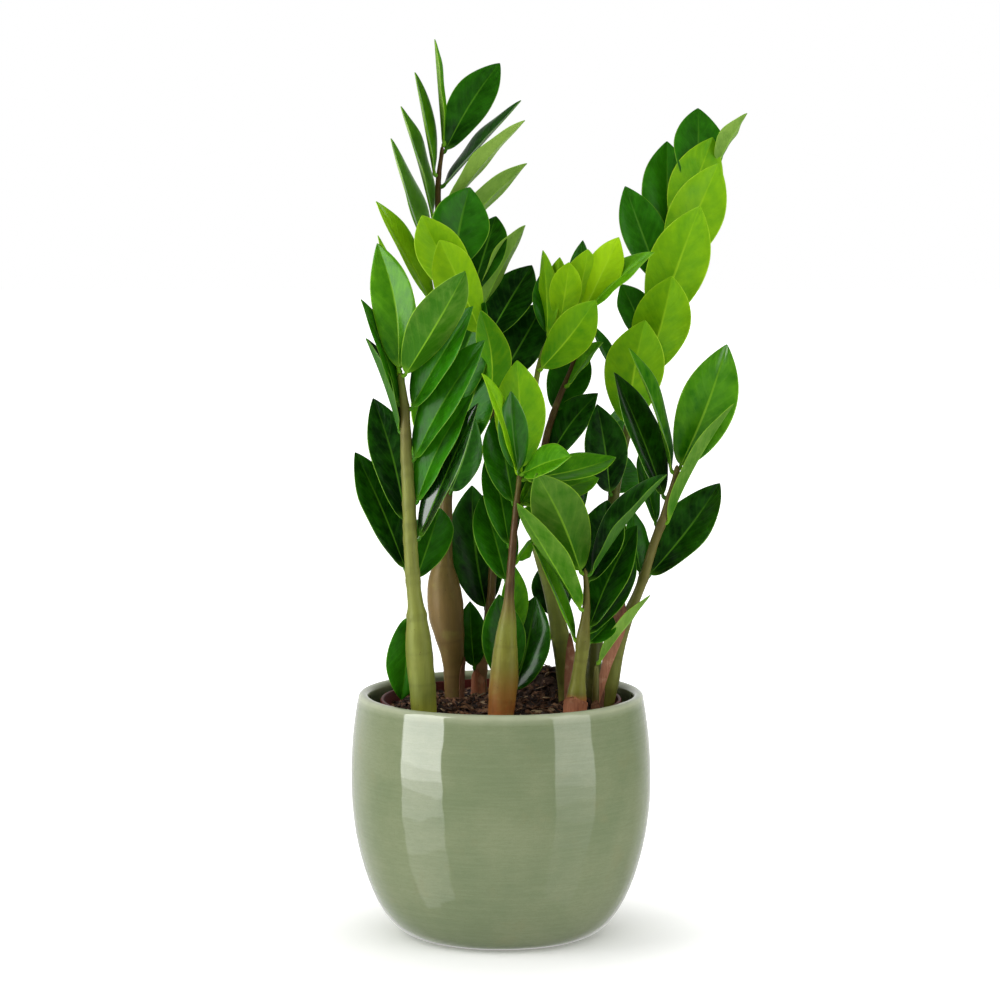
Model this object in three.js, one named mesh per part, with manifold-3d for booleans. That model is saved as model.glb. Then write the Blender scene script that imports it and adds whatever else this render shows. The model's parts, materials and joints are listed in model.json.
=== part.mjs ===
// A zamioculcas (ZZ plant) in its grow pot, standing in a round glazed ceramic pot.
// Millimetres, +Z up, origin under the middle of the ceramic pot's foot, front towards -Y.
import * as THREE from "three";
import { mergeVertices } from "three/addons/utils/BufferGeometryUtils.js";
import Module from "manifold-3d";

const wasm = await Module();
wasm.setup();

// Driving dimensions
const GAP = 0.3;                 // clearance between touching pieces

const POT_HEIGHT = 122;
const FOOT_RADIUS = 42;
const BELLY_RADIUS = 75.5;
const BELLY_HEIGHT = 77;
const SHOULDER_RADIUS = 71.6;    // just under the rolled rim
const POT_WALL = 5.4;
const POT_FLOOR = 7;

const GROW_FLOOR_RADIUS = 43;
const GROW_RIM_RADIUS = 60.6;
const GROW_MOUTH_RADIUS = 58.6;
const GROW_TOP = 119;
const GROW_WALL = 1.2;
const GROW_FLOOR = 1.5;
const DRAIN_HOLE_RADIUS = 4;
const DRAIN_HOLE_COUNT = 6;
const DRAIN_CIRCLE_RADIUS = 28;

const SOIL_EDGE_HEIGHT = 114;
const SOIL_CROWN = 3.5;          // the middle stands this much above the edge
const SOIL_HEAP = { x: 24, y: 30, height: 15, spread: 13 };

const PETIOLULE_LENGTH = 4;
const PETIOLULE_RADIUS = 0.9;
const LEAF_THICKNESS = 1.2;
const LEAF_FOLD = 14;            // each half of a blade rises this many degrees
const LEAF_ARCH = 0.035;         // height of a blade's arch over its length
const ROUND_SIDES = 8;           // sides of a stem

// The plant is laid out as it is seen from the front. "Across" and "up" are read from
// this viewpoint in a plane through the pot's axis, and "away" is the depth behind it.
const EYE = new THREE.Vector3(0, -1800, 421);
const AIM = new THREE.Vector3(0, 0, 219);

const FACING = new THREE.Vector3(0, -1, 0);

// Stems from foot to tip: across, up, away, radius
const STEMS = {
  front_left: [
    [-38.5, 100, -29, 5.4], [-38.5, 115, -29, 6.0], [-41, 144, -30, 6.5], [-42, 159, -31, 4.9],
    [-43, 169, -32, 3.6], [-44.5, 184, -33, 3.4], [-45.5, 204, -35, 3.3], [-46, 219, -37, 3.1],
    [-47.5, 244, -40, 2.6], [-48, 264, -43, 2.2], [-50.5, 283, -46, 1.4],
  ],
  back_left: [
    [-23.5, 104, 17, 4.2], [-23.5, 124, 16, 4.6], [-24, 139, 15, 5.2], [-25, 149, 14, 6.8],
    [-27, 159, 14, 8.2], [-28, 169, 14, 8.8], [-29, 179, 14, 7.4], [-28.5, 190, 15, 4.2],
    [-27.5, 219, 17, 3.0], [-29, 260, 19, 2.5], [-30.5, 310, 21, 2.0], [-31.5, 369, 23, 1.5],
    [-31.2, 381, 24, 1.2], [-29, 396, 25, 0.9],
  ],
  centre_front: [
    [0, 98, -37, 5.6], [0, 113, -36, 6.2], [1.5, 129, -36, 6.8], [2, 139, -37, 6.2],
    [2.5, 149, -37, 5.2], [3.5, 159, -38, 4.0], [4, 169, -39, 2.4], [5, 184, -41, 1.9],
    [6.5, 204, -43, 1.6], [8, 219, -45, 1.4], [9.5, 233, -47, 1.1],
  ],
  centre_back: [
    [-10.5, 104, 27, 3.4], [-10.8, 124, 27, 3.6], [-10.5, 132, 27, 3.4], [-8, 148, 26, 2.6],
    [-5, 170, 24, 2.1], [-3.5, 200, 22, 1.9], [-3, 230, 19, 1.8], [-4, 262, 14, 1.6],
    [-7, 290, 8, 1.4], [-13, 314, 2, 1.2], [-23, 333, -4, 0.9],
  ],
  centre_right: [
    [33, 102, 3, 3.4], [32.5, 119, 2, 3.8], [32.5, 134, 1, 4.6], [30, 149, 0, 4.6],
    [28, 159, 0, 4.0], [25.5, 169, 0, 3.2], [22.5, 179, 1, 2.4], [17.5, 194, 2, 1.8],
    [15, 214, 3, 1.6], [15, 244, 4, 1.5], [16.5, 269, 5, 1.4], [18.5, 284, 6, 1.3],
    [22.5, 297, 7, 1.1], [31, 306, 7, 1.0], [39, 311, 6, 0.9], [46.5, 314, 5, 0.8],
  ],
  front_right: [
    [37, 99, -31, 4.6], [37, 114, -31, 5.2], [38, 123, -32, 4.6], [38.5, 129, -32, 3.3],
    [40, 139, -34, 3.2], [41, 149, -36, 3.0], [42, 159, -39, 2.2], [43, 169, -42, 1.5],
    [42.5, 178, -45, 1.2], [42, 184, -48, 1.0],
  ],
  right: [
    [51.5, 102, -2, 3.4], [52.3, 116, -2, 4.0], [54, 129, -3, 5.0], [56, 139, -4, 4.6],
    [59, 149, -5, 3.7], [62.5, 159, -7, 3.0], [67, 169, -9, 2.4], [71, 179, -11, 2.3],
    [74, 189, -13, 2.1], [77, 199, -15, 2.1], [81, 209, -17, 2.0], [84, 219, -19, 1.8],
    [87, 229, -21, 1.5], [88.5, 236, -23, 1.2],
  ],
  back_right: [
    [44, 104, 15, 3.6], [45, 122, 16, 4.2], [47, 149, 18, 4.0], [51, 189, 21, 3.0],
    [56, 219, 24, 2.6], [62, 249, 28, 2.3], [69, 274, 32, 2.0], [75.5, 301, 36, 1.8],
    [83.5, 331, 40, 1.5], [92, 356, 44, 1.3], [101, 377, 48, 1.0], [107, 387, 50, 0.8],
  ],
  far_right: [
    [36, 106, 37, 3.0], [38, 123, 37, 3.2], [43, 149, 38, 3.0], [52, 189, 41, 2.4],
    [57, 212, 43, 1.9], [56, 224, 45, 1.6], [51, 245, 48, 1.3], [45, 262, 50, 0.9],
  ],
  far_centre: [
    [31, 106, 22, 3.0], [31, 122, 22, 3.2], [29, 149, 22, 2.8], [24, 171, 22, 2.3],
    [19.5, 190, 23, 2.0], [18, 209, 24, 1.9], [20, 234, 25, 1.8], [23, 252, 26, 1.7],
    [29, 270, 27, 1.5], [35, 284, 28, 1.2], [41, 304, 29, 0.8],
  ],
  young_centre: [
    [4, 104, -14, 2.0], [4, 121, -14, 2.2], [5, 138, -14, 1.6], [6, 156, -13, 0.9],
  ],
  young_right: [
    [47, 100, -21, 1.7], [47.2, 116, -21, 1.8], [47.5, 128, -21, 1.5], [47.8, 137, -21, 1.1],
  ],
};

// Leaflets: stem, height of the foot on it, tip (across, up, away), width, turn, tone.
// At turn 0 the upper face looks to the front, above 0 it turns to the right of a
// rising blade, and at 180 the underside looks to the front.
const LEAFLETS = {
  front_left_top: ["front_left", 283, [-62, 347.5, -46], 22, -15, "fresh"],
  front_left_top_right: ["front_left", 281, [-18, 333.5, -80], 24, 204, "fresh"],
  front_left_right_2: ["front_left", 264, [-14, 316, -52], 26, -48, "dark"],
  front_left_right_3: ["front_left", 238.5, [-8, 299, -57], 25, -48, "dark"],
  front_left_right_4: ["front_left", 199, [-11.5, 267.5, -52], 22, -55, "dark"],
  front_left_left_3: ["front_left", 206, [-64, 270, -4], 24, 20, "dark"],
  front_left_left_4: ["front_left", 183, [-73, 243, -14], 25, 40, "dark"],
  back_left_tip: ["back_left", 400, [-33, 449.5, 14], 18, 86, "fresh"],
  back_left_top_right: ["back_left", 393, [-0.5, 437.5, 58], 21, -12, "dark"],
  back_left_left_1: ["back_left", 381, [-43, 433, 22], 20, 78, "fresh"],
  back_left_left_2: ["back_left", 357, [-50, 416, 22], 22, 78, "fresh"],
  back_left_left_3: ["back_left", 331, [-55, 400, 28], 24, 78, "fresh"],
  back_left_right_1: ["back_left", 375, [10, 419, 30], 20, -76, "dark"],
  back_left_right_2: ["back_left", 356, [12, 409, 26], 22, -117, "fresh"],
  centre_back_top: ["centre_back", 340, [-15.5, 375.5, 6], 29, 5, "dark"],
  centre_back_left_2: ["centre_back", 302, [-31, 349, -32], 25, 204, "pale"],
  centre_back_left_3: ["centre_back", 268, [-10, 314, -22], 24, 150, "pale"],
  centre_back_right_1: ["centre_back", 320, [-2.5, 361, 26], 24, -25, "dark"],
  centre_back_right_2: ["centre_back", 298, [15.5, 336.5, 27], 24, -25, "dark"],
  centre_back_right_3: ["centre_back", 274, [22, 318.5, 30], 25, -20, "dark"],
  centre_front_top: ["centre_front", 238, [8, 289, -47], 25, 180, "pale"],
  centre_front_right_2: ["centre_front", 229, [57.5, 240.5, -34], 24, -62, "fresh"],
  centre_front_left_2: ["centre_front", 194.5, [-5.5, 245.5, -28], 20, 25, "dark"],
  centre_front_left_3: ["centre_front", 177, [-9.5, 221.5, -22], 22, 20, "dark"],
  young_centre_left: ["young_centre", 126, [-1, 172, -20], 26, 10, "dark"],
  front_right_top: ["front_right", 182, [17.5, 232.5, -68], 26, 178, "fresh"],
  front_right_right_1: ["front_right", 181, [83, 232, -58], 26, -80, "dark"],
  front_right_left_2: ["front_right", 164, [8, 217.5, -74], 26, 118, "fresh"],
  front_right_right_2: ["front_right", 153, [68, 206.5, -24], 23, -35, "dark"],
  young_right_leaf: ["young_right", 140, [74.5, 171.5, -34], 15, -118, "fresh"],
  right_top_right: ["right", 234, [113, 297, -16], 28, -5, "fresh"],
  right_top_left: ["right", 232, [64, 295, -26], 22, 76, "fresh"],
  right_left_2: ["right", 219, [56.5, 283, -14], 24, 48, "dark"],
  right_right_3: ["right", 180, [109.5, 227.5, 6], 26, -32, "dark"],
  back_right_tip: ["back_right", 390, [123, 412.5, 42], 18, -118, "fresh"],
  back_right_left_1: ["back_right", 371, [98.5, 415, 68], 26, 5, "dark"],
  back_right_left_2: ["back_right", 338, [83, 398.5, 68], 28, 8, "dark"],
  back_right_right_3: ["back_right", 304, [99.5, 366, 14], 30, 178, "pale"],
  back_right_right_4: ["back_right", 280, [85.5, 331, 6], 29, 178, "pale"],
  back_right_right_5: ["back_right", 255, [72, 309, 2], 30, 178, "pale"],
  back_right_left_low: ["back_right", 221, [48, 267, 4], 22, 12, "dark"],
  centre_right_left_2: ["centre_right", 284, [47.5, 319, -22], 21, 170, "pale"],
  centre_right_tip: ["centre_right", 312, [59, 350.5, -14], 18, 172, "pale"],
};

// Papery bracts that stand in the soil: foot (across, up, away), tip, width, turn
const BRACTS = {
  bract_centre: [[35.5, 113, -10], [34.5, 153, -7], 8, 0],
  bract_right: [[47, 115, -12], [61.5, 169.5, -14], 7, -15],
};
const BRACT_THICKNESS = 1;

const BROWN_STEMS = ["back_left", "centre_back", "back_right", "far_right", "far_centre"];

// Colour and roughness of each material
const COLOURS = {
  glaze: [0x8f9f78, 0.16],
  grow_plastic: [0x6b3226, 0.55],
  soil: [0x2e1f17, 0.95],
  stem_olive: [0x8a9150, 0.5],
  stem_brown: [0x6f5b3c, 0.55],
  leaf_dark: [0x174f0c, 0.3],
  leaf_fresh: [0x3f8216, 0.35],
  leaf_pale: [0x6fa018, 0.4],
  bract: [0xa5664a, 0.75],
};

function material([colour, roughness]) {
  return new THREE.MeshStandardMaterial({ color: colour, roughness, metalness: 0 });
}

function named(name, geometry, look) {
  const mesh = new THREE.Mesh(geometry, material(look));
  mesh.name = name;
  return mesh;
}

// ---- laying out in space -------------------------------------------------------

function seen([across, up, away]) {
  const view = AIM.clone().sub(EYE).normalize();
  const right = new THREE.Vector3(1, 0, 0);
  const upward = right.clone().cross(view);
  const inPlane = AIM.clone()
    .addScaledVector(right, across)
    .addScaledVector(upward, up - AIM.z);
  const reach = (away - EYE.y) / (inPlane.y - EYE.y);
  return EYE.clone().addScaledVector(inPlane.sub(EYE), reach);
}

function unit(vector) {
  return vector.clone().normalize();
}

// The part of a vector that is square to an axis
function squareTo(axis, vector) {
  return vector.clone().addScaledVector(axis, -vector.dot(axis));
}

// ---- closed bodies ----------------------------------------------------------------

// Joins rings with the same number of points into one closed body, ends included.
function skin(rings) {
  const sides = rings[0].length;
  const positions = rings.flat().flatMap((point) => point.toArray());
  const triangles = [];
  for (let ring = 0; ring < rings.length - 1; ring += 1) {
    for (let side = 0; side < sides; side += 1) {
      const a = ring * sides + side;
      const b = ring * sides + (side + 1) % sides;
      triangles.push(a, b, b + sides, a, b + sides, a + sides);
    }
  }
  const last = (rings.length - 1) * sides;
  for (let side = 1; side < sides - 1; side += 1) {
    triangles.push(0, side + 1, side);
    triangles.push(last, last + side, last + side + 1);
  }
  const geometry = new THREE.BufferGeometry();
  geometry.setAttribute("position", new THREE.Float32BufferAttribute(positions, 3));
  geometry.setIndex(triangles);
  geometry.computeVertexNormals();
  return geometry;
}

function solidOf(geometry) {
  const bare = geometry.clone();
  bare.deleteAttribute("normal");
  bare.deleteAttribute("uv");
  const merged = mergeVertices(bare);
  return new wasm.Manifold(new wasm.Mesh({
    numProp: 3,
    vertProperties: new Float32Array(merged.attributes.position.array),
    triVerts: new Uint32Array(merged.index.array),
  }));
}

function geometryOf(solid) {
  const mesh = solid.getMesh();
  const geometry = new THREE.BufferGeometry();
  geometry.setAttribute("position", new THREE.BufferAttribute(mesh.vertProperties, 3));
  geometry.setIndex(new THREE.BufferAttribute(mesh.triVerts, 1));
  geometry.computeVertexNormals();
  return geometry;
}

// A profile of [radius, height] points turned round the vertical axis.
function turned(profile, segments) {
  const points = profile.map(([radius, height]) => new THREE.Vector2(radius, height));
  return new THREE.LatheGeometry(points, segments).rotateX(Math.PI / 2);
}

// ---- pots and soil ------------------------------------------------------------------

function potOuterRadius(height) {
  if (height < BELLY_HEIGHT) {
    const below = 1 - height / BELLY_HEIGHT;
    const swell = Math.pow(1 - Math.pow(below, 1.8), 1 / 2.1);
    return FOOT_RADIUS + (BELLY_RADIUS - FOOT_RADIUS) * swell;
  }
  const above = (height - BELLY_HEIGHT) / (POT_HEIGHT - POT_WALL / 2 - BELLY_HEIGHT);
  return BELLY_RADIUS - (BELLY_RADIUS - SHOULDER_RADIUS) * above * above;
}

function ceramicPot() {
  const roll = POT_WALL / 2;
  const rimCentre = SHOULDER_RADIUS - roll;
  const profile = [[0, 0], [FOOT_RADIUS, 0]];
  for (const height of [0.8, 3, 7, 13, 22, 34, 50, 77, 98]) {
    profile.push([potOuterRadius(height), height]);
  }
  for (let step = 0; step <= 4; step += 1) {
    const angle = Math.PI * step / 4;
    profile.push([rimCentre + roll * Math.cos(angle), POT_HEIGHT - roll + roll * Math.sin(angle)]);
  }
  for (const height of [98, 77, 50, 34, 22, 14]) {
    profile.push([potOuterRadius(height) - POT_WALL, height]);
  }
  profile.push([potOuterRadius(14) - POT_WALL - 5, POT_FLOOR + 1.6]);
  profile.push([GROW_FLOOR_RADIUS + 2, POT_FLOOR]);
  profile.push([0, POT_FLOOR]);
  return turned(profile, 48);
}

function growPot() {
  const foot = POT_FLOOR + GAP;
  const lip = GROW_TOP - 7;
  const shell = turned([
    [0, foot],
    [GROW_FLOOR_RADIUS, foot],
    [GROW_MOUTH_RADIUS, lip],
    [GROW_RIM_RADIUS, lip + 0.5],
    [GROW_RIM_RADIUS, GROW_TOP - 0.6],
    [GROW_RIM_RADIUS - 0.6, GROW_TOP],
    [GROW_RIM_RADIUS - GROW_WALL, GROW_TOP],
    [GROW_MOUTH_RADIUS - GROW_WALL, lip],
    [GROW_FLOOR_RADIUS - GROW_WALL, foot + GROW_FLOOR],
    [0, foot + GROW_FLOOR],
  ], 48);
  let solid = solidOf(shell);
  for (let index = 0; index < DRAIN_HOLE_COUNT; index += 1) {
    const angle = 2 * Math.PI * index / DRAIN_HOLE_COUNT;
    const drill = new THREE.CylinderGeometry(DRAIN_HOLE_RADIUS, DRAIN_HOLE_RADIUS, 6, 12);
    drill.rotateX(Math.PI / 2);
    drill.translate(
      DRAIN_CIRCLE_RADIUS * Math.cos(angle),
      DRAIN_CIRCLE_RADIUS * Math.sin(angle),
      foot + GROW_FLOOR / 2,
    );
    solid = solid.subtract(solidOf(drill));
  }
  return geometryOf(solid);
}

function soilHeight(x, y) {
  const fromAxis = Math.hypot(x, y) / GROW_MOUTH_RADIUS;
  const fromHeap = Math.hypot(x - SOIL_HEAP.x, y - SOIL_HEAP.y) / SOIL_HEAP.spread;
  const crown = SOIL_CROWN * Math.max(0, 1 - fromAxis * fromAxis);
  const heap = SOIL_HEAP.height * Math.exp(-fromHeap * fromHeap);
  return SOIL_EDGE_HEIGHT + crown + heap * Math.max(0, 1 - Math.pow(fromAxis, 6));
}

function rootBall(sockets) {
  const foot = POT_FLOOR + GAP + GROW_FLOOR + GAP;
  const floorRadius = GROW_FLOOR_RADIUS - GROW_WALL - GAP;
  const mouthRadius = GROW_MOUTH_RADIUS - GROW_WALL - GAP;
  const lip = GROW_TOP - 7;
  const profile = [[0, foot], [floorRadius, foot], [mouthRadius, lip]];
  const topRings = 9;
  for (let ring = topRings; ring >= 0; ring -= 1) {
    profile.push([mouthRadius * ring / topRings, SOIL_EDGE_HEIGHT]);
  }
  const ball = turned(profile, 40);
  const position = ball.attributes.position;
  for (let index = 0; index < position.count; index += 1) {
    if (position.getZ(index) > lip + 1) {
      position.setZ(index, soilHeight(position.getX(index), position.getY(index)));
    }
  }
  return geometryOf(sockets.reduce((left, socket) => left.subtract(solidOf(socket)), solidOf(ball)));
}

// ---- stems ---------------------------------------------------------------------------

class Stem {
  constructor(rows) {
    this.rows = rows;
    this.path = new THREE.CatmullRomCurve3(rows.map(seen), false, "centripetal");
    this.girth = new THREE.SplineCurve(rows.map((row, index) => new THREE.Vector2(index, row[3])));
  }

  // Where on the path the stem is seen at this height
  at(up) {
    const last = this.rows.length - 1;
    const next = this.rows.findIndex((row) => row[1] > up);
    if (next < 0) return 1;
    const low = this.rows[next - 1];
    const share = (up - low[1]) / (this.rows[next][1] - low[1]);
    return (next - 1 + share) / last;
  }

  ring(place, grow) {
    const centre = this.path.getPoint(place);
    const along = this.path.getTangent(place);
    const radius = this.girth.getPoint(place).y + grow;
    const side = unit(along.clone().cross(FACING));
    const front = unit(along.clone().cross(side));
    const points = [];
    for (let corner = 0; corner < ROUND_SIDES; corner += 1) {
      const angle = 2 * Math.PI * corner / ROUND_SIDES;
      points.push(centre.clone()
        .addScaledVector(side, radius * Math.cos(angle))
        .addScaledVector(front, radius * Math.sin(angle)));
    }
    return points;
  }

  body(grow = 0) {
    const steps = 2 * (this.rows.length - 1);
    const rings = [];
    for (let step = 0; step <= steps; step += 1) {
      rings.push(this.ring(step / steps, grow));
    }
    const along = this.path.getTangent(0);
    rings[0].forEach((point) => point.addScaledVector(along, -grow));
    return skin(rings);
  }

  // The spot just clear of the surface where a petiolule heading this way leaves
  socket(up, heading) {
    const place = this.at(up);
    const centre = this.path.getPoint(place);
    const along = this.path.getTangent(place);
    const outward = place < 1 ? unit(squareTo(along, heading)) : along;
    const clear = place < 1 ? this.girth.getPoint(place).y + GAP : GAP;
    return { point: centre.addScaledVector(outward, clear), outward };
  }
}

// ---- blades --------------------------------------------------------------------------

// Half-width of a blade as a share of its widest, at shares of its length
const LEAF_OUTLINE = [[0.2, 0.66], [0.38, 0.96], [0.58, 0.97], [0.78, 0.67], [0.92, 0.28], [1, 0.02]];
const BRACT_OUTLINE = [[0, 0.8], [0.35, 1], [0.65, 0.8], [0.88, 0.4], [1, 0.04]];

function axes(from, to, turn) {
  const along = unit(to.clone().sub(from));
  const facing = unit(squareTo(along, FACING));
  const sideways = along.clone().cross(facing);
  const angle = THREE.MathUtils.degToRad(turn);
  const face = facing.multiplyScalar(Math.cos(angle)).addScaledVector(sideways, Math.sin(angle));
  return { along, face, side: face.clone().cross(along) };
}

// Left edge, upper midrib, right edge and lower midrib
function bladeRing(centre, { face, side }, halfWidth, fold, thickness) {
  const rise = halfWidth * Math.sin(fold);
  const reach = halfWidth * Math.cos(fold);
  return [
    centre.clone().addScaledVector(side, reach).addScaledVector(face, rise),
    centre.clone().addScaledVector(face, thickness / 2),
    centre.clone().addScaledVector(side, -reach).addScaledVector(face, rise),
    centre.clone().addScaledVector(face, -thickness / 2),
  ];
}

function blade(from, to, frame, width, outline, thickness) {
  const span = to.clone().sub(from);
  const fold = THREE.MathUtils.degToRad(LEAF_FOLD);
  return outline.map(([share, breadth]) => {
    const arch = 4 * LEAF_ARCH * span.length() * share * (1 - share);
    const centre = from.clone().addScaledVector(span, share).addScaledVector(frame.face, arch);
    const slim = share < 1 ? thickness : thickness / 3;
    return bladeRing(centre, frame, breadth * width / 2, fold, slim);
  });
}

function leaflet([stemName, up, tipPlace, width, turn]) {
  const tip = seen(tipPlace);
  const stem = stems[stemName];
  const centre = stem.path.getPoint(stem.at(up));
  const { point, outward } = stem.socket(up, unit(tip.clone().sub(centre)));
  const frame = axes(point, tip, turn);
  const bend = new THREE.Quaternion().setFromUnitVectors(frame.along, outward);
  const foot = {
    face: frame.face.clone().applyQuaternion(bend),
    side: frame.side.clone().applyQuaternion(bend),
  };
  const neck = point.clone()
    .addScaledVector(frame.along, PETIOLULE_LENGTH)
    .addScaledVector(outward, PETIOLULE_RADIUS / 2);
  return skin([
    bladeRing(point, foot, PETIOLULE_RADIUS, 0, 2 * PETIOLULE_RADIUS),
    bladeRing(neck, frame, PETIOLULE_RADIUS, 0, 2 * PETIOLULE_RADIUS),
    ...blade(point, tip, frame, width, LEAF_OUTLINE, LEAF_THICKNESS),
  ]);
}

function bract([foot, tip, width, turn], grow = 0) {
  const from = seen(foot);
  const to = seen(tip);
  const frame = axes(from, to, turn);
  from.addScaledVector(frame.along, -grow);
  return skin(blade(from, to, frame, width + 2 * grow, BRACT_OUTLINE, BRACT_THICKNESS + 2 * grow));
}

// ---- the object ------------------------------------------------------------------------

const stems = Object.fromEntries(
  Object.entries(STEMS).map(([name, rows]) => [name, new Stem(rows)]),
);

const plant = new THREE.Group();
const sockets = [
  ...Object.values(stems).map((stem) => stem.body(GAP)),
  ...Object.values(BRACTS).map((row) => bract(row, GAP)),
];

plant.add(named("ceramic_pot", ceramicPot(), COLOURS.glaze));
plant.add(named("grow_pot", growPot(), COLOURS.grow_plastic));
plant.add(named("soil", rootBall(sockets), COLOURS.soil));
for (const [name, stem] of Object.entries(stems)) {
  const look = BROWN_STEMS.includes(name) ? COLOURS.stem_brown : COLOURS.stem_olive;
  plant.add(named(`stem_${name}`, stem.body(), look));
}
for (const [name, row] of Object.entries(LEAFLETS)) {
  const tone = row[5];
  plant.add(named(`leaf_${name}`, leaflet(row), COLOURS[`leaf_${tone}`]));
}
for (const [name, row] of Object.entries(BRACTS)) {
  plant.add(named(name, bract(row), COLOURS.bract));
}

export default plant;
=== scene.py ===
import json
import math
from random import Random

import bpy
import numpy as np
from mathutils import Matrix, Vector, noise


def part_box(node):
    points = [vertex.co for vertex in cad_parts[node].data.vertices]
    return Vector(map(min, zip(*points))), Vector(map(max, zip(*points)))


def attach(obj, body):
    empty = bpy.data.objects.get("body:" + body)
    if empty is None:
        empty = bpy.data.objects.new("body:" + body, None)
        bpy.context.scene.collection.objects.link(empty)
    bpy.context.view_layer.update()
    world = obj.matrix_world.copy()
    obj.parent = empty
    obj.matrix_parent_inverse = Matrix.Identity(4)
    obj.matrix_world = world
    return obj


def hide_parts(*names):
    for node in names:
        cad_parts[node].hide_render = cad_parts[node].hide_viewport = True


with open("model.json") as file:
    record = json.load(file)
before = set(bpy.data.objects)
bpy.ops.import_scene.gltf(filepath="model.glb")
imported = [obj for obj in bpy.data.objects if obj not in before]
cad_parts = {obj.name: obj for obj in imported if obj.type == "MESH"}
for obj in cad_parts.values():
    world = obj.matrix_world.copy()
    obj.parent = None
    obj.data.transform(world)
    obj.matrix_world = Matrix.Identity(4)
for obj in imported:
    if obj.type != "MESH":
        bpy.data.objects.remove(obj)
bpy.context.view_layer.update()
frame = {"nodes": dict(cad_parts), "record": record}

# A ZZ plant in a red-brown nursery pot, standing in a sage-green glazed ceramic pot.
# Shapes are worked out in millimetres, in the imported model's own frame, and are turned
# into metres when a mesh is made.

MM = 0.001
BODY = "root"

# ---- the photograph's view ----

EYE = np.array([0.0, -1800.0, 421.0])
AIM = np.array([0.0, 0.0, 219.0])
VIEW_SHIFT = -0.5          # the camera stands this far to the right of the pot's axis
LENS = 130.41
SENSOR = 36.0


def unit(vector):
    return vector / np.linalg.norm(vector)


VIEW = unit(AIM - EYE)
RIGHT = np.array([1.0, 0.0, 0.0])
UPWARD = np.cross(RIGHT, VIEW)
FACING = np.array([0.0, -1.0, 0.0])


def seen(across, up, away):
    """The point that shows at (across, up) in the picture plane and lies at depth away."""
    in_plane = AIM + RIGHT * across + UPWARD * (up - AIM[2])
    reach = (away - EYE[1]) / (in_plane[1] - EYE[1])
    return EYE + (in_plane - EYE) * reach


def picture_height(point):
    """How high a point shows in the picture plane."""
    ray = point - EYE
    in_plane = EYE + ray * ((AIM - EYE) @ VIEW) / (ray @ VIEW)
    return (in_plane - AIM) @ UPWARD + AIM[2]


# ---- colours ----

def linear(red, green, blue):
    """A colour given as 0 to 255 on screen, as the linear values that shaders take."""
    def channel(value):
        value /= 255
        return value / 12.92 if value <= 0.04045 else ((value + 0.055) / 1.055) ** 2.4
    return (channel(red), channel(green), channel(blue), 1.0)


# ---- node materials ----

def feed(tree, socket, value):
    """Links an input to another node's output, or sets it to a value."""
    if isinstance(value, bpy.types.NodeSocket):
        tree.links.new(value, socket)
    else:
        socket.default_value = value


def add_node(tree, kind, inputs=(), **settings):
    """A shader node, with its inputs fed in their order, or by name from a dictionary."""
    node = tree.nodes.new("ShaderNode" + kind)
    for key, value in settings.items():
        setattr(node, key, value)
    for key, value in inputs.items() if isinstance(inputs, dict) else enumerate(inputs):
        feed(tree, node.inputs[key], value)
    return node


class Graph:
    """One node material with a Principled shader, built a node at a time."""

    def __init__(self, name):
        self.material = bpy.data.materials.new(name)
        self.material.use_nodes = True
        self.tree = self.material.node_tree
        self.shader = self.tree.nodes["Principled BSDF"]

    def set(self, **values):
        """Sets the shader's sockets: base_color stands for Base Color, and so on."""
        for key, value in values.items():
            words = [w if w.isupper() else w.capitalize() for w in key.split("_")]
            feed(self.tree, self.shader.inputs[" ".join(words)], value)

    def add(self, kind, inputs=(), **settings):
        return add_node(self.tree, kind, inputs, **settings)

    def place(self):
        return self.add("TexCoord").outputs["Object"]

    def stretched(self, scale):
        inputs = {"Vector": self.place(), "Scale": scale}
        return self.add("Mapping", inputs).outputs["Vector"]

    def tint(self):
        return self.add("Attribute", attribute_name="tint").outputs["Color"]

    def value(self, name):
        return self.add("Attribute", attribute_name=name).outputs["Fac"]

    def noise(self, scale, detail=4.0, roughness=0.55, where=None):
        inputs = {
            "Vector": self.place() if where is None else where,
            "Scale": scale, "Detail": detail, "Roughness": roughness,
        }
        return self.add("TexNoise", inputs).outputs["Fac"]

    def cells(self, scale, feature="F1"):
        inputs = {"Vector": self.place(), "Scale": scale}
        return self.add("TexVoronoi", inputs, feature=feature).outputs["Distance"]

    def math(self, operation, first, second=0.0, clamp=False):
        node = self.add("Math", (first, second), operation=operation, use_clamp=clamp)
        return node.outputs[0]

    def times(self, first, second):
        return self.math("MULTIPLY", first, second)

    def plus(self, first, second, clamp=False):
        return self.math("ADD", first, second, clamp)

    def rise(self, value, start, end, low=0.0, high=1.0):
        """A smooth step of value, from low at start to high at end."""
        inputs = (value, start, end, low, high)
        return self.add("MapRange", inputs, interpolation_type="SMOOTHSTEP").outputs["Result"]

    def mix(self, share, first, second):
        """Two colours mixed, the second one by share."""
        return self.add("Mix", {0: share, 6: first, 7: second}, data_type="RGBA").outputs[2]

    def layer(self, colour, value, start, end, strength, tint):
        """A screen colour laid over another, up to strength as value goes from start to end."""
        return self.mix(self.rise(value, start, end, 0.0, strength), colour, linear(*tint))

    def bump(self, height, distance, strength, under=None):
        inputs = {"Height": height, "Distance": distance, "Strength": strength}
        if under is not None:
            inputs["Normal"] = under
        return self.add("Bump", inputs).outputs["Normal"]


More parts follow.
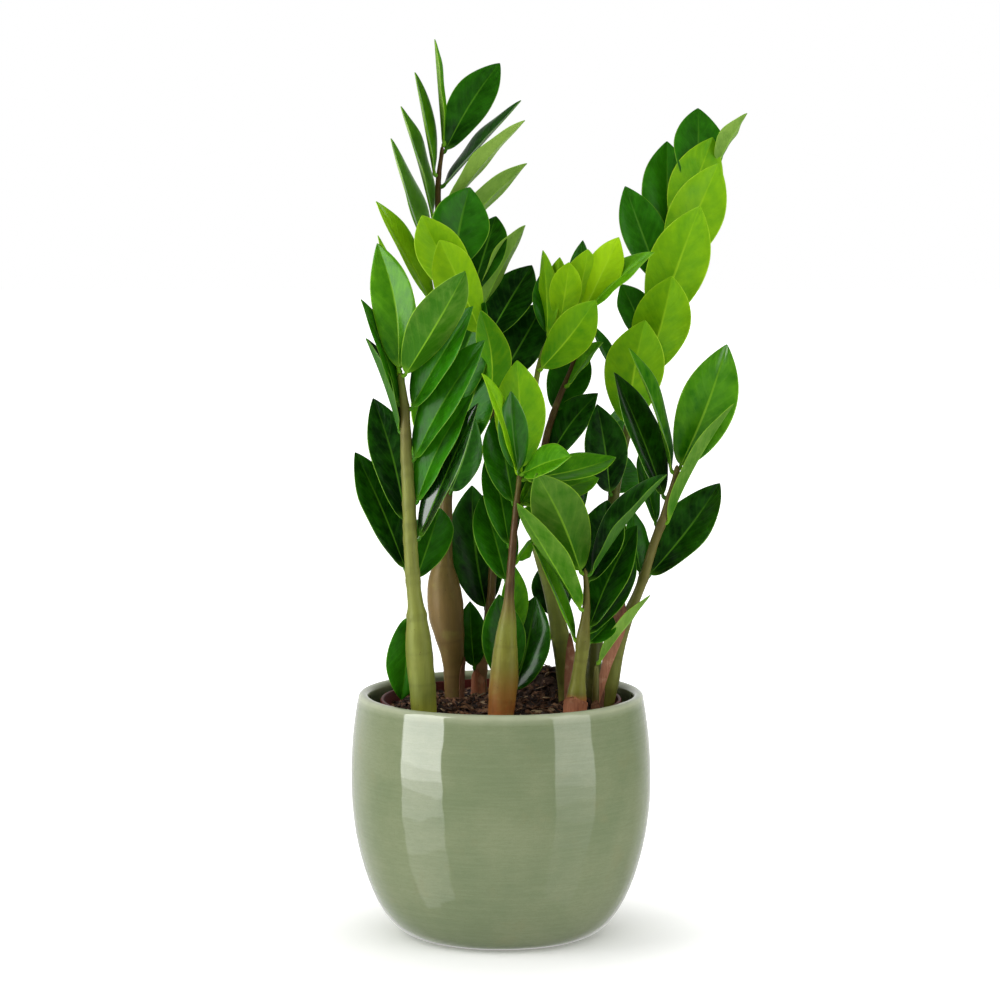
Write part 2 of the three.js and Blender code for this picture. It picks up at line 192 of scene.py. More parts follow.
# Each tone of leaflet: its upper skin and its underside, as the deep and the bright end of
# their greens, its veins, its rim and the roughness of its upper skin. Besides the leaflets'
# own greens, the deep end holds painted shade and the bright end painted light; the pale
# tone's bright yellow-green is partly painted light shining through the blade.
LEAF_TONES = {
    "dark": (
        ((4, 36, 1), (44, 116, 3)), ((40, 88, 12), (98, 142, 50)),
        (84, 140, 30), (118, 168, 44), 0.34,
    ),
    "fresh": (
        ((26, 92, 1), (96, 162, 12)), ((50, 104, 6), (132, 166, 68)),
        (128, 178, 40), (150, 196, 50), 0.38,
    ),
    "pale": (
        ((68, 134, 3), (136, 190, 6)), ((72, 138, 3), (156, 202, 6)),
        (158, 202, 36), (172, 210, 44), 0.42,
    ),
}
UNDER_ROUGHNESS = 0.55
LEAF_SPECULAR = 0.08
LEAF_COAT_ROUGHNESS = 0.16


def leaf_material(name, greens, vein, rim, roughness, coat, mottling):
    """A leaflet's skin: mottled green that holds painted light and shade, darker towards the foot
    in painted shade, a paler midrib, a paler rim that is partly painted rim light, and faint side
    veins.
    """
    g = Graph(name)
    along = g.value("along")
    off = g.math("ABSOLUTE", g.value("across"))
    wander = g.times(g.plus(g.noise(120, 2), -0.5), 2.6)
    phase = g.plus(g.plus(g.times(along, 62), g.times(off, -17)), wander)
    parts = (g.times(phase, 0.16), g.times(off, 1.4), g.times(g.noise(9, 1), 40))
    bands = g.noise(1, 3, 0.5, g.add("CombineXYZ", parts).outputs["Vector"])
    patches = g.noise(150, 4, 0.6)
    flecks = g.noise(900, 3, 0.6)
    # The shade gives each leaflet its own green and also paints the light and shade it stood in.
    tone = g.plus(g.value("shade"), g.times(g.plus(patches, -0.5), mottling))
    tone = g.plus(tone, g.times(g.plus(bands, -0.5), mottling * 0.7))
    # Lighter towards the edges; darker towards the foot, which is painted shade where other
    # leaflets overlap the blade's lower part.
    tone = g.plus(tone, g.rise(off, 0.55, 1.0, 0.0, 0.10))
    tone = g.plus(tone, g.rise(along, 0.0, 0.45, -0.20, 0.03))
    tone = g.plus(tone, g.times(g.plus(flecks, -0.5), 0.08), clamp=True)
    colour = g.mix(tone, *(linear(*green) for green in greens))

    ridge = g.rise(g.math("SINE", phase), 0.55, 1.0)
    side_veins = g.times(ridge, g.rise(off, 0.98, 0.75))
    colour = g.mix(g.times(side_veins, 0.035), colour, linear(*vein))

    midrib = g.rise(off, 0.055, 0.018)
    taper = g.rise(along, 1.0, 0.25, 0.15, 0.85)
    colour = g.mix(g.times(midrib, taper), colour, linear(*vein))
    colour = g.layer(colour, along, 0.08, 0.0, 0.45, vein)
    # The rim: partly the blade's paler margin, partly a painted rim light.
    colour = g.layer(colour, off, 0.955, 0.985, 0.75, rim)

    quilt = g.plus(g.times(side_veins, -0.12), g.noise(150, 2))
    quilt = g.plus(quilt, g.times(bands, 0.5))
    normal = g.bump(quilt, 0.0008, 0.45)
    normal = g.bump(g.noise(1800, 2), 0.00010, 0.20, normal)
    g.set(
        base_color=colour, normal=normal, specular_IOR_level=LEAF_SPECULAR,
        roughness=g.rise(patches, 0.3, 0.7, roughness - 0.06, roughness + 0.08),
        coat_weight=g.times(g.value("shine"), coat), coat_roughness=LEAF_COAT_ROUGHNESS,
    )
    return g.material


def leaf_pair(tone):
    """The upper and lower skins of one tone of leaflet."""
    upper, under, vein, rim, roughness = LEAF_TONES[tone]
    return [
        leaf_material(f"leaf_{tone}_upper", upper, vein, rim, roughness, 1.0, 0.9),
        leaf_material(f"leaf_{tone}_under", under, vein, rim, UNDER_ROUGHNESS, 0.3, 0.6),
    ]


def stem_material():
    """Fleshy stems: their painted tint, fine lengthwise streaks, small pale and dark dots."""
    g = Graph("stem_skin")
    tint = g.tint()
    streaks = g.noise(1, 5, 0.6, g.stretched((700, 700, 55)))
    colour = g.layer(tint, streaks, 0.35, 0.75, 0.24, (72, 66, 26))
    bloom = g.noise(130, 3)
    colour = g.layer(colour, bloom, 0.52, 0.78, 0.20, (150, 152, 70))
    dots = g.rise(g.cells(420), 0.16, 0.07)
    few = g.rise(g.noise(170, 1), 0.52, 0.62)
    colour = g.mix(g.times(g.times(dots, few), 0.55), colour, linear(70, 50, 24))
    normal = g.bump(g.plus(streaks, g.times(dots, 0.5)), 0.0003, 0.28)
    roughness = g.rise(bloom, 0.3, 0.7, 0.36, 0.5)
    g.set(base_color=colour, normal=normal, roughness=roughness, specular_IOR_level=0.2)
    return g.material


def sheath_material():
    """Dry papery bracts: lengthwise fibres between pink brown and tan."""
    g = Graph("papery_sheath")
    tint = g.tint()
    fibres = g.noise(1, 5, 0.65, g.stretched((1100, 1100, 60)))
    colour = g.layer(tint, fibres, 0.42, 0.72, 0.65, (112, 66, 44))
    colour = g.layer(colour, g.noise(160, 4), 0.55, 0.75, 0.5, (206, 160, 122))
    normal = g.bump(fibres, 0.0006, 0.8)
    g.set(base_color=colour, normal=normal, roughness=0.62, specular_IOR_level=0.25)
    return g.material


def glaze_material():
    """Sage-green glaze: cloudy patches, level brush lines and fine crackle, under gloss."""
    g = Graph("sage_glaze")
    clouds = g.noise(26, 5, 0.62)
    brushed = g.noise(1, 5, 0.6, g.stretched((28, 28, 700)))
    fine = g.noise(1, 3, 0.5, g.stretched((260, 260, 1500)))
    warm = g.noise(60, 4, 0.6)
    crackle = g.rise(g.cells(1150, "DISTANCE_TO_EDGE"), 0.10, 0.02)
    specks = g.noise(1500, 3, 0.7)
    colour = g.mix(g.rise(clouds, 0.36, 0.66), linear(117, 129, 97), linear(129, 138, 106))
    colour = g.layer(colour, brushed, 0.40, 0.66, 0.16, (146, 154, 122))
    colour = g.layer(colour, fine, 0.40, 0.66, 0.20, (108, 120, 84))
    colour = g.layer(colour, warm, 0.55, 0.78, 0.30, (134, 132, 96))
    colour = g.layer(colour, specks, 0.42, 0.68, 0.16, (100, 112, 80))
    colour = g.mix(g.times(crackle, 0.10), colour, linear(96, 106, 78))
    # A paler band round the rim: partly glaze run thin over it, partly a painted highlight along
    # it.
    colour = g.mix(g.value("thin"), colour, linear(192, 197, 168))
    colour = g.mix(g.value("bare"), colour, linear(206, 196, 176))
    ripple = g.plus(g.times(brushed, 0.6), g.noise(70, 3))
    g.set(
        base_color=colour, normal=g.bump(ripple, 0.0006, 0.12), specular_IOR_level=0.0,
        roughness=g.plus(0.22, g.times(g.value("bare"), 0.5)),
        coat_weight=1.0, coat_roughness=0.05,
    )
    return g.material


def plastic_material():
    """The nursery pot: dark red-brown moulded plastic, scuffed and dusted with soil."""
    g = Graph("nursery_plastic")
    dust = g.noise(240, 4)
    scuffs = g.noise(1, 4, 0.6, g.stretched((90, 90, 900)))
    colour = g.layer(linear(80, 22, 16), dust, 0.5, 0.75, 0.6, (92, 44, 30))
    colour = g.layer(colour, scuffs, 0.55, 0.8, 0.2, (118, 66, 50))
    normal = g.bump(scuffs, 0.0003, 0.5)
    g.set(base_color=colour, normal=normal, roughness=0.48, specular_IOR_level=0.15)
    return g.material


def soil_material(name):
    """Peat and bark: the painted tint, broken up by coarse and fine grain."""
    g = Graph(name)
    tint = g.tint()
    grain = g.noise(900, 5, 0.7)
    lumps = g.noise(260, 4, 0.6)
    colour = g.layer(tint, grain, 0.35, 0.70, 0.55, (26, 15, 9))
    colour = g.layer(colour, lumps, 0.58, 0.80, 0.35, (104, 78, 58))
    normal = g.bump(g.plus(grain, lumps), 0.0012, 0.9)
    roughness = g.rise(lumps, 0.3, 0.7, 0.62, 0.9)
    g.set(base_color=colour, normal=normal, roughness=roughness, specular_IOR_level=0.3)
    return g.material


def floor_material():
    """A plain pale floor that glows so that it stays white, which is painted light; its glow is
    weaker near the pot and before it, which paints a deeper, wider shadow round the pot's foot.
    """
    g = Graph("studio_floor")
    white = linear(250, 250, 249)
    forward = g.add("VectorMath", (g.place(), (0, 0.025, 0)), operation="ADD").outputs[0]
    reach = g.add("VectorMath", (forward,), operation="LENGTH").outputs["Value"]
    depth = g.add("SeparateXYZ", (g.place(),)).outputs["Y"]
    behind = g.rise(depth, -0.55, -0.12, 0.30, 1.0)
    share = g.math("MAXIMUM", behind, g.rise(reach, 0.7, 1.8))
    # Painted light: weaker near the pot and in front, it paints shadow round the foot and lights
    # the pot's front less.
    glow = g.times(g.rise(reach, 0.05, 0.20, 0.20, 0.92), share)
    g.set(
        base_color=white, roughness=0.9, specular_IOR_level=0.1, emission_color=white,
        emission_strength=glow,
    )
    return g.material


# ---- meshes ----

def cad_mesh(node):
    """A CAD node's vertices, in millimetres, and its edges as pairs of vertices."""
    mesh = frame["nodes"][node].data
    points = np.array([v.co for v in mesh.vertices]) / MM
    edges = np.array([e.vertices for e in mesh.edges])
    return points, edges


def make_piece(name, points, faces, materials, slot, nodes=(), skins=None, values=None):
    """A smooth mesh object from millimetre points, riding on the plant's one body."""
    mesh = bpy.data.meshes.new(name)
    mesh.from_pydata((np.asarray(points) * MM).tolist(), [], faces)
    for material in materials:
        mesh.materials.append(material)
    if skins is not None:
        mesh.polygons.foreach_set("material_index", np.asarray(skins, np.int32))
    for key, data in (values or {}).items():
        data = np.asarray(data, np.float32)
        kind, field = ("FLOAT", "value") if data.ndim == 1 else ("FLOAT_COLOR", "color")
        mesh.attributes.new(key, kind, "POINT").data.foreach_set(field, data.ravel())
    mesh.shade_smooth()
    mesh.update()
    piece = bpy.data.objects.new(name, mesh)
    bpy.context.collection.objects.link(piece)
    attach(piece, BODY)
    if nodes:
        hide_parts(*nodes)
    return piece


def loft_faces(rings, around, clockwise=False):
    """Quads between rings of points, with both ends closed. Seen from the first ring's end
    on, rings that go round the other way are clockwise."""
    faces = []
    for ring in range(rings - 1):
        for step in range(around):
            a = ring * around + step
            b = ring * around + (step + 1) % around
            faces.append((a, b, b + around, a + around))
    faces.append(tuple(range(around - 1, -1, -1)))
    last = (rings - 1) * around
    faces.append(tuple(range(last, last + around)))
    return [face[::-1] for face in faces] if clockwise else faces


def lathe(profile, steps, wobble):
    """A closed profile of (radius, height) turned round the Z axis: points and faces. Each
    point is moved by wobble(radius, height, angle)."""
    points = []
    for step in range(steps):
        angle = 2 * math.pi * step / steps
        for place in profile:
            radius, height = wobble(*place, angle)
            points.append((radius * math.cos(angle), radius * math.sin(angle), height))
    count = len(profile)
    faces = []
    for step in range(steps):
        here = step * count
        there = (step + 1) % steps * count
        for k in range(count):
            after = (k + 1) % count
            faces.append((here + k, there + k, there + after, here + after))
    return np.array(points), faces


def fractal(x, y, z, octaves=4):
    """Seedless fractal noise, about -1 to 1, of a place in millimetres."""
    return noise.fractal(Vector((x, y, z)), 0.9, 2.1, octaves)


# ---- the ceramic pot ----

FOOT_RADIUS = 42
BELLY_RADIUS = 75.5
BELLY_HEIGHT = 77
SHOULDER_RADIUS = 71.6
POT_HEIGHT = 122
POT_WALL = 5.4
POT_FLOOR = 7
RIM_RADIUS = POT_WALL / 2
BARE_HEIGHT = 0.9          # the clay is unglazed below this and within the bare radius
BARE_RADIUS = 42.2
TURNED_STEPS = 192


def pot_radius(height):
    """The ceramic pot's outer radius: a full belly that draws in to the rim."""
    if height < BELLY_HEIGHT:
        climb = (1 - height / BELLY_HEIGHT) ** 1.8
        return FOOT_RADIUS + (BELLY_RADIUS - FOOT_RADIUS) * (1 - climb) ** (1 / 2.1)
    climb = (height - BELLY_HEIGHT) / (POT_HEIGHT - RIM_RADIUS - BELLY_HEIGHT)
    return BELLY_RADIUS - (BELLY_RADIUS - SHOULDER_RADIUS) * climb ** 2


def pot_profile():
    """The pot's section: foot, outside, rolled rim, inside and floor, as (radius, height)."""
    shoulder = POT_HEIGHT - RIM_RADIUS
    heights = [shoulder * (step / 60) ** 1.35 for step in range(1, 61)]
    outside = [(pot_radius(height), height) for height in heights]
    rim = []
    for angle in math.pi * np.arange(1, 16) / 16:
        radius = SHOULDER_RADIUS - RIM_RADIUS + RIM_RADIUS * math.cos(angle)
        rim.append((radius, shoulder + RIM_RADIUS * math.sin(angle)))
    heights = np.linspace(shoulder, POT_FLOOR + 4, 40)
    inside = [(pot_radius(height) - POT_WALL, height) for height in heights]
    floor = [(inside[-1][0] - 5, POT_FLOOR), (0.05, POT_FLOOR)]
    foot = [(0.05, 2.2), (34, 2.2), (35.5, 0.4), (36.5, 0), (40.5, 0), (41.7, 0.35)]
    return foot + outside + rim + inside + floor


def build_pot(material):
    """A thrown pot: its wall and rim waver by a few tenths of a millimetre."""
    def wobble(radius, height, angle):
        x, y = math.cos(angle), math.sin(angle)
        sway = 0.35 * fractal(x * 1.4, y * 1.4, height / 45)
        rings = 0.05 * math.sin(height * 1.15 + 2 * fractal(x, y, height / 30, 2))
        lift = 0.45 * fractal(x * 1.2 + 5, y * 1.2, 3.0, 2) * max(0, height / POT_HEIGHT) ** 8
        grip = min(1, radius / 30)
        return radius + (sway + rings) * grip, height + (lift if radius > 60 else 0)

    points, faces = lathe(pot_profile(), TURNED_STEPS, wobble)
    thin, bare = [], []
    for x, y, z in points:
        patchy = 0.5 + 0.5 * fractal(x / 9, y / 9, z / 9, 3)
        # The pale band along the rim's top is partly thin glaze and partly a painted highlight.
        edge = max(0, 1 - abs(z - POT_HEIGHT + 0.8) / 2.6)
        thin.append(0.75 * edge ** 0.7 * (0.65 + 0.35 * patchy))
        bare.append(float(z < BARE_HEIGHT and math.hypot(x, y) < BARE_RADIUS))
    make_piece(
        "glazed_pot", points, faces, [material], "glaze", ["ceramic_pot"],
        values={"thin": thin, "bare": bare},
    )


# ---- the nursery pot ----

GROW_FOOT = 43
GROW_MOUTH = 58.6
GROW_RIM = 60.6
GROW_WALL = 1.2
GROW_LIP = 112
RIB_COUNT = 24
RIB_HEIGHT = 0.18


def build_grow_pot(material):
    """A tapered pot with shallow ribs and a wide rolled lip."""
    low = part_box("grow_pot")[0].z / MM
    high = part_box("grow_pot")[1].z / MM
    slope = (GROW_MOUTH - GROW_FOOT) / (GROW_LIP - low)

    def wall(height):
        return GROW_FOOT + slope * (height - low)

    outside = [(0.05, low), (GROW_FOOT - 2, low), (GROW_FOOT - 0.5, low + 0.5)]
    outside += [(wall(z), z) for z in np.linspace(low + 2, GROW_LIP - 0.4, 30)]
    lip = [
        (GROW_MOUTH + 0.3, GROW_LIP), (GROW_RIM - 0.3, GROW_LIP + 0.1),
        (GROW_RIM, GROW_LIP + 0.6),
    ]
    rolled = ((0, 0.7), (0.4, 0.15), (0.8, 0), (1.4, 0.1), (1.7, 0.6))
    lip += [(GROW_RIM - inwards, high - down) for inwards, down in rolled]
    lip += [(GROW_RIM - 1.8, GROW_LIP + 1.6), (GROW_MOUTH - GROW_WALL, GROW_LIP - 0.6)]
    inside = [(wall(z) - GROW_WALL, z) for z in np.linspace(GROW_LIP - 3, low + 3, 24)]
    floor = [(GROW_FOOT - 3, low + GROW_WALL), (0.05, low + GROW_WALL)]

    def ribs(radius, height, angle):
        ribbed = low + 6 < height < GROW_LIP - 4
        bulge = RIB_HEIGHT * max(0, math.cos(angle * RIB_COUNT)) ** 6
        return radius + (bulge if ribbed else 0), height

    points, faces = lathe(outside + lip + inside + floor, TURNED_STEPS, ribs)
    make_piece("nursery_pot", points, faces, [material], "grow_plastic", ["grow_pot"])


# ---- the potting mix ----

SOIL_EDGE = 114
SOIL_CROWN = 3.5
CRUMB_ROOM = 1.2
SOIL_RADIUS = 56.6
HEAP = {"x": 24, "y": 30, "height": 15, "spread": 13}
CHIP_COUNT = 1500
CHIP_TILT = 38
FIBRE_SHARE = 0.12
PALE_SHARE = 0.12


def soil_height(x, y):
    """The mean height of the bed, which is crowned and has a heap behind."""
    share = min(1, math.hypot(x, y) / SOIL_RADIUS)
    away = ((x - HEAP["x"]) ** 2 + (y - HEAP["y"]) ** 2) / HEAP["spread"] ** 2
    bed = SOIL_EDGE + SOIL_CROWN * (1 - share ** 2)
    return bed + HEAP["height"] * math.exp(-away / 1.6) - CRUMB_ROOM


def build_soil(material, chip_material):
    """The bed in rings from its middle out, then the root ball's sides and bottom."""
    rings, sectors = 44, 176
    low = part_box("soil")[0].z / MM
    deep, warm = np.array(linear(26, 16, 10)), np.array(linear(66, 44, 30))
    points, tints = [], []

    def ring_places(radius, offset):
        for sector in range(sectors):
            angle = 2 * math.pi * (sector + offset) / sectors
            yield radius * math.cos(angle), radius * math.sin(angle)

    for ring in range(rings + 1):
        radius = 0.4 + (SOIL_RADIUS - 0.4) * ring / rings
        for x, y in ring_places(radius, 0.5 * (ring % 2)):
            crumbs = 1.5 * fractal(x / 5, y / 5, 7.0, 4) + 0.8 * fractal(x / 1.7, y / 1.7, 2.0, 2)
            points.append((x, y, soil_height(x, y) + crumbs))
            share = 0.5 + 0.5 * fractal(x / 6, y / 6, 0.5, 3)
            tints.append(deep * (1 - share) + warm * share)
    narrowing = [(0.97, 0.75), (0.86, 0.35), (0.74, 0.0)]
    for shrink, share in narrowing:
        height = low + (SOIL_EDGE - 6 - low) * share
        for x, y in ring_places(SOIL_RADIUS * shrink, 0.5 * (rings % 2)):
            points.append((x, y, height))
            tints.append(deep)
    faces = loft_faces(rings + 1 + len(narrowing), sectors, clockwise=True)
    make_piece(
        "potting_mix", points, faces, [material], "soil", ["soil"], values={"tint": tints},
    )
    build_chips(chip_material)


CHIP_SHAPE = [
    (-1.0, -0.4, -0.5), (-0.3, -1.0, -0.6), (0.8, -0.8, -0.4), (1.0, 0.3, -0.5),
    (0.2, 1.0, -0.5), (-0.8, 0.7, -0.6), (-0.8, -0.3, 0.5), (-0.2, -0.8, 0.6),
    (0.7, -0.6, 0.5), (0.8, 0.2, 0.4), (0.1, 0.8, 0.6), (-0.7, 0.5, 0.4),
]
CHIP_FACES = [
    (5, 4, 3, 2, 1, 0), (6, 7, 8, 9, 10, 11), (0, 1, 7, 6), (1, 2, 8, 7),
    (2, 3, 9, 8), (3, 4, 10, 9), (4, 5, 11, 10), (5, 0, 6, 11),
]


def turned(axis, angle):
    """The matrix of a turn about one of the three axes."""
    first, second = (axis + 1) % 3, (axis + 2) % 3
    matrix = np.eye(3)
    matrix[first, first] = matrix[second, second] = math.cos(angle)
    matrix[second, first] = math.sin(angle)
    matrix[first, second] = -math.sin(angle)
    return matrix


def tumbled(draw, tilt):
    """A random turn: any heading, and a lean of up to tilt degrees."""
    heading = draw.uniform(0, 2 * math.pi)
    lean = math.radians(draw.uniform(-tilt, tilt))
    roll = math.radians(draw.uniform(-tilt, tilt))
    return turned(2, heading) @ turned(1, lean) @ turned(0, roll)


def build_chips(material):
    """Chopped bark on top of the bed, with some thin fibres and a few pale pieces."""
    draw = Random(11)
    shape = np.array(CHIP_SHAPE)
    browns = [linear(*c) for c in ((32, 18, 12), (62, 38, 24), (92, 60, 38), (122, 84, 56))]
    pale = [linear(186, 156, 122), linear(150, 112, 80)]
    points, faces, tints = [], [], []
    for _ in range(CHIP_COUNT):
        radius = (SOIL_RADIUS - 1.5) * math.sqrt(draw.random())
        angle = draw.uniform(0, 2 * math.pi)
        x, y = radius * math.cos(angle), radius * math.sin(angle)
        length = draw.uniform(0.9, 3.4)
        breadth = length * draw.uniform(0.25, 0.8)
        if draw.random() < FIBRE_SHARE:
            length, breadth = draw.uniform(2.5, 5.0), draw.uniform(0.22, 0.45)
        size = np.array([length, breadth, draw.uniform(0.25, 0.8)])
        rough = np.array([[draw.uniform(0.75, 1.2) for _ in range(3)] for _ in shape])
        place = np.array([x, y, soil_height(x, y) + draw.uniform(0.2, 1.6)])
        corners = (shape * rough * size) @ tumbled(draw, CHIP_TILT).T + place
        start = len(points)
        points += corners.tolist()
        faces += [tuple(start + k for k in face) for face in CHIP_FACES]
        tint = draw.choice(pale if draw.random() < PALE_SHARE else browns)
        tints += [tint] * len(shape)
    values = {"tint": tints}
    chips = make_piece("bark_chips", points, faces, [material], "soil", values=values)
    chips.data.shade_flat()


# ---- stems ----

OCTAGON = 0.96             # an eight-sided ring's half extent over its corner radius
SLICE_STEP = 1.5
FIRST_SLICE = 1.2          # above the stem's lowest point
LAST_SLICE = 0.8           # below its highest point
SMOOTHING = 2              # slices to either side that a slice is averaged with
SOCKET_SHARE = 0.9         # how far out towards a stem's skin its leaflets begin
RING_STEP = 1.3
STEM_SIDES = 20
SWELLING = 0.10            # where a leaflet joins, as a share of the radius
SWELLING_SPREAD = 2.0
SCAR_DEPTH = 0.06
SCAR_SPREAD = 0.55
LIP_HEIGHT = 0.05          # the ridge above a ring scar
LIP_SPREAD = 0.7
LIP_ABOVE = 1.1
ROUNDED_RINGS = 3          # the rings that draw in to the stem's rounded end


def smoothed(values, reach):
    """A running mean along the first axis, with the ends held."""
    padded = np.pad(values, ((reach, reach), (0, 0)), "edge")
    width = 2 * reach + 1
    return np.array([padded[k:k + width].mean(0) for k in range(len(values))])


class Stem:
    """A stem's centre line and radius, read from its CAD solid by level slices."""

    def __init__(self, name):
        self.name = name
        points, edges = cad_mesh(f"stem_{name}")
        starts, ends = points[edges[:, 0]], points[edges[:, 1]]
        self.low, self.high = points[:, 2].min(), points[:, 2].max()
        self.levels = np.arange(self.low + FIRST_SLICE, self.high - LAST_SLICE, SLICE_STEP)
        rings = []
        for level in self.levels:
            crossing = (starts[:, 2] - level) * (ends[:, 2] - level) < 0
            a, b = starts[crossing], ends[crossing]
            share = (level - a[:, 2]) / (b[:, 2] - a[:, 2])
            cut = a + (b - a) * share[:, None]
            half = np.ptp(cut[:, :2], axis=0) / 2
            centre = (cut[:, :2].min(0) + cut[:, :2].max(0)) / 2
            rings.append([*centre, half.min() / OCTAGON])
        self.rings = smoothed(np.array(rings), SMOOTHING)
        self.shown = [picture_height(self.centre(level)) for level in self.levels]
        self.feet = []

    def ring(self, level):
        return [np.interp(level, self.levels, column) for column in self.rings.T]

    def centre(self, level):
        x, y, _ = self.ring(level)
        return np.array([x, y, level])

    def radius(self, level):
        return self.ring(level)[2]

    def level_at(self, up):
        """The height of the place that shows at this height in the picture plane."""
        return np.interp(up, self.shown, self.levels)

    def along(self, level):
        return unit(self.centre(level + SLICE_STEP) - self.centre(level - SLICE_STEP))

    def socket(self, level, towards):
        """The point just under the stem's skin that faces a direction."""
        axis = self.along(level)
        outward = unit(towards - axis * (towards @ axis))
        return self.centre(level) + outward * self.radius(level) * SOCKET_SHARE


# The part of each linear channel that a stem keeps of its colour
STEM_DEPTH = np.array([0.78, 0.80, 0.52, 1.0])
# Colours up each stem, as (height above the table, screen colour). The dark olive of
# back_right and far_right is partly their own colour and partly painted shade, the shade
# they stand in behind the plant.
STEM_TINTS = {
    "front_left": [
        (112, (176, 176, 60)), (119, (158, 162, 72)), (126, (132, 140, 68)),
        (170, (138, 144, 78)), (235, (132, 136, 78)), (262, (110, 104, 62)),
        (284, (92, 110, 40)),
    ],
    "back_left": [
        (112, (120, 92, 66)), (135, (128, 102, 66)), (165, (140, 112, 78)),
        (190, (112, 94, 58)), (230, (96, 78, 50)), (330, (86, 58, 38)), (400, (78, 60, 30)),
    ],
    "centre_front": [
        (112, (180, 102, 62)), (120, (170, 100, 52)), (130, (146, 106, 48)),
        (142, (124, 118, 48)), (160, (128, 132, 58)), (172, (112, 98, 54)), (180, (92, 66, 46)),
        (212, (88, 58, 42)), (236, (98, 90, 44)),
    ],
    "centre_back": [
        (112, (150, 110, 90)), (134, (158, 118, 94)), (146, (112, 90, 56)),
        (230, (84, 66, 40)), (330, (82, 70, 34)),
    ],
    "centre_right": [
        (112, (140, 128, 74)), (130, (126, 132, 66)), (165, (132, 140, 72)),
        (210, (118, 128, 60)), (300, (120, 136, 50)), (330, (140, 160, 50)),
    ],
    "front_right": [
        (112, (188, 120, 84)), (124, (176, 112, 74)), (127, (126, 126, 56)),
        (150, (118, 120, 54)), (162, (104, 100, 48)), (176, (98, 92, 46)), (186, (104, 98, 50)),
    ],
    "right": [
        (112, (124, 124, 60)), (135, (114, 120, 56)), (165, (112, 112, 60)),
        (200, (118, 110, 68)), (240, (112, 96, 62)),
    ],
    "back_right": [
        (112, (84, 86, 42)), (180, (80, 86, 40)), (300, (88, 92, 36)), (390, (96, 110, 36)),
    ],
    "far_right": [(112, (80, 78, 40)), (260, (74, 64, 36))],
    "far_centre": [(112, (92, 82, 44)), (200, (84, 62, 42)), (310, (80, 56, 36))],
    "young_centre": [(112, (120, 112, 56)), (130, (96, 112, 44)), (156, (90, 116, 40))],
    "young_right": [(112, (112, 82, 60)), (124, (98, 92, 50)), (138, (104, 104, 56))],
}

# Bare ring scars on the thick lower stems, by height
STEM_SCARS = {
    "front_left": [131, 147, 164, 190, 212, 236],
    "back_left": [128, 146, 184, 205],
    "centre_front": [124, 151, 170],
    "centre_back": [124, 139],
    "centre_right": [127, 148, 176, 198],
    "front_right": [127, 144, 159],
    "right": [124, 141, 158],
    "back_right": [128, 150, 175, 200, 228],
    "far_right": [130, 160, 186],
    "far_centre": [132, 160, 190, 215],
}


def near(level, marks, spread):
    """How near a level lies to each mark, from 1 there to 0 a few spreads away."""
    return [math.exp(-((level - mark) / spread) ** 2) for mark in marks]


def tint_at(stops, level):
    """The linear colour at a level between stops of (level, screen colour)."""
    heights = [height for height, _ in stops]
    colours = np.array([linear(*colour) for _, colour in stops])
    return np.array([np.interp(level, heights, colours[:, k]) for k in range(4)])


def stem_path(stem):
    """Points a ring's step apart up the stem, with their levels."""
    levels = np.arange(stem.low, stem.high + 0.5, 0.5)
    line = np.array([stem.centre(level) for level in levels])
    travel = np.concatenate([[0], np.cumsum(np.linalg.norm(np.diff(line, axis=0), axis=1))])
    count = int(travel[-1] / RING_STEP)
    levels = np.interp(np.linspace(0, travel[-1], count), travel, levels)
    return [stem.centre(level) for level in levels], levels


def build_stem(stem, material, slot):
    """A tube with soft swellings where leaflets join, ring scars and a rounded end."""
    line, levels = stem_path(stem)
    stops = STEM_TINTS[stem.name]
    scars = STEM_SCARS.get(stem.name, [])
    points, tints = [], []
    top = len(line) - 1
    for k, (centre, level) in enumerate(zip(line, levels)):
        axis = unit(line[min(k + 1, top)] - line[max(k - 1, 0)])
        front = unit(FACING - axis * (FACING @ axis))
        right = np.cross(front, axis)
        swell = sum(near(level, stem.feet, SWELLING_SPREAD))
        scar = max(near(level, scars, SCAR_SPREAD), default=0)
        lip = max(near(level - LIP_ABOVE, scars, LIP_SPREAD), default=0)
        radius = stem.radius(level) * (1 + SWELLING * min(swell, 1.3))
        radius = radius - SCAR_DEPTH * scar + LIP_HEIGHT * lip
        closing = min(1, (top - k) / ROUNDED_RINGS)
        radius = max(radius * math.sqrt(1 - (1 - closing) ** 2), 0.05)
        tint = tint_at(stops, level) * STEM_DEPTH
        for side in range(STEM_SIDES):
            angle = -2 * math.pi * side / STEM_SIDES
            out = right * math.cos(angle) + front * math.sin(angle)
            place = centre + out * radius
            lumps = 0.04 * radius * fractal(place[0] / 5, place[1] / 5, place[2] / 9, 3)
            points.append(place + out * lumps)
            cloud = fractal(place[0] / 4, place[1] / 4, place[2] / 16, 3)
            colour = tint * (1 + 0.16 * cloud)
            colour = colour * (1 - 0.14 * scar) * (1 - 0.14 * min(swell, 1))
            colour[3] = 1
            tints.append(np.clip(colour, 0, 1))
    faces = loft_faces(len(line), STEM_SIDES, clockwise=True)
    make_piece(
        f"{stem.name}_stem", points, faces, [material], slot, [f"stem_{stem.name}"],
        values={"tint": tints},
    )


# ---- leaflets ----

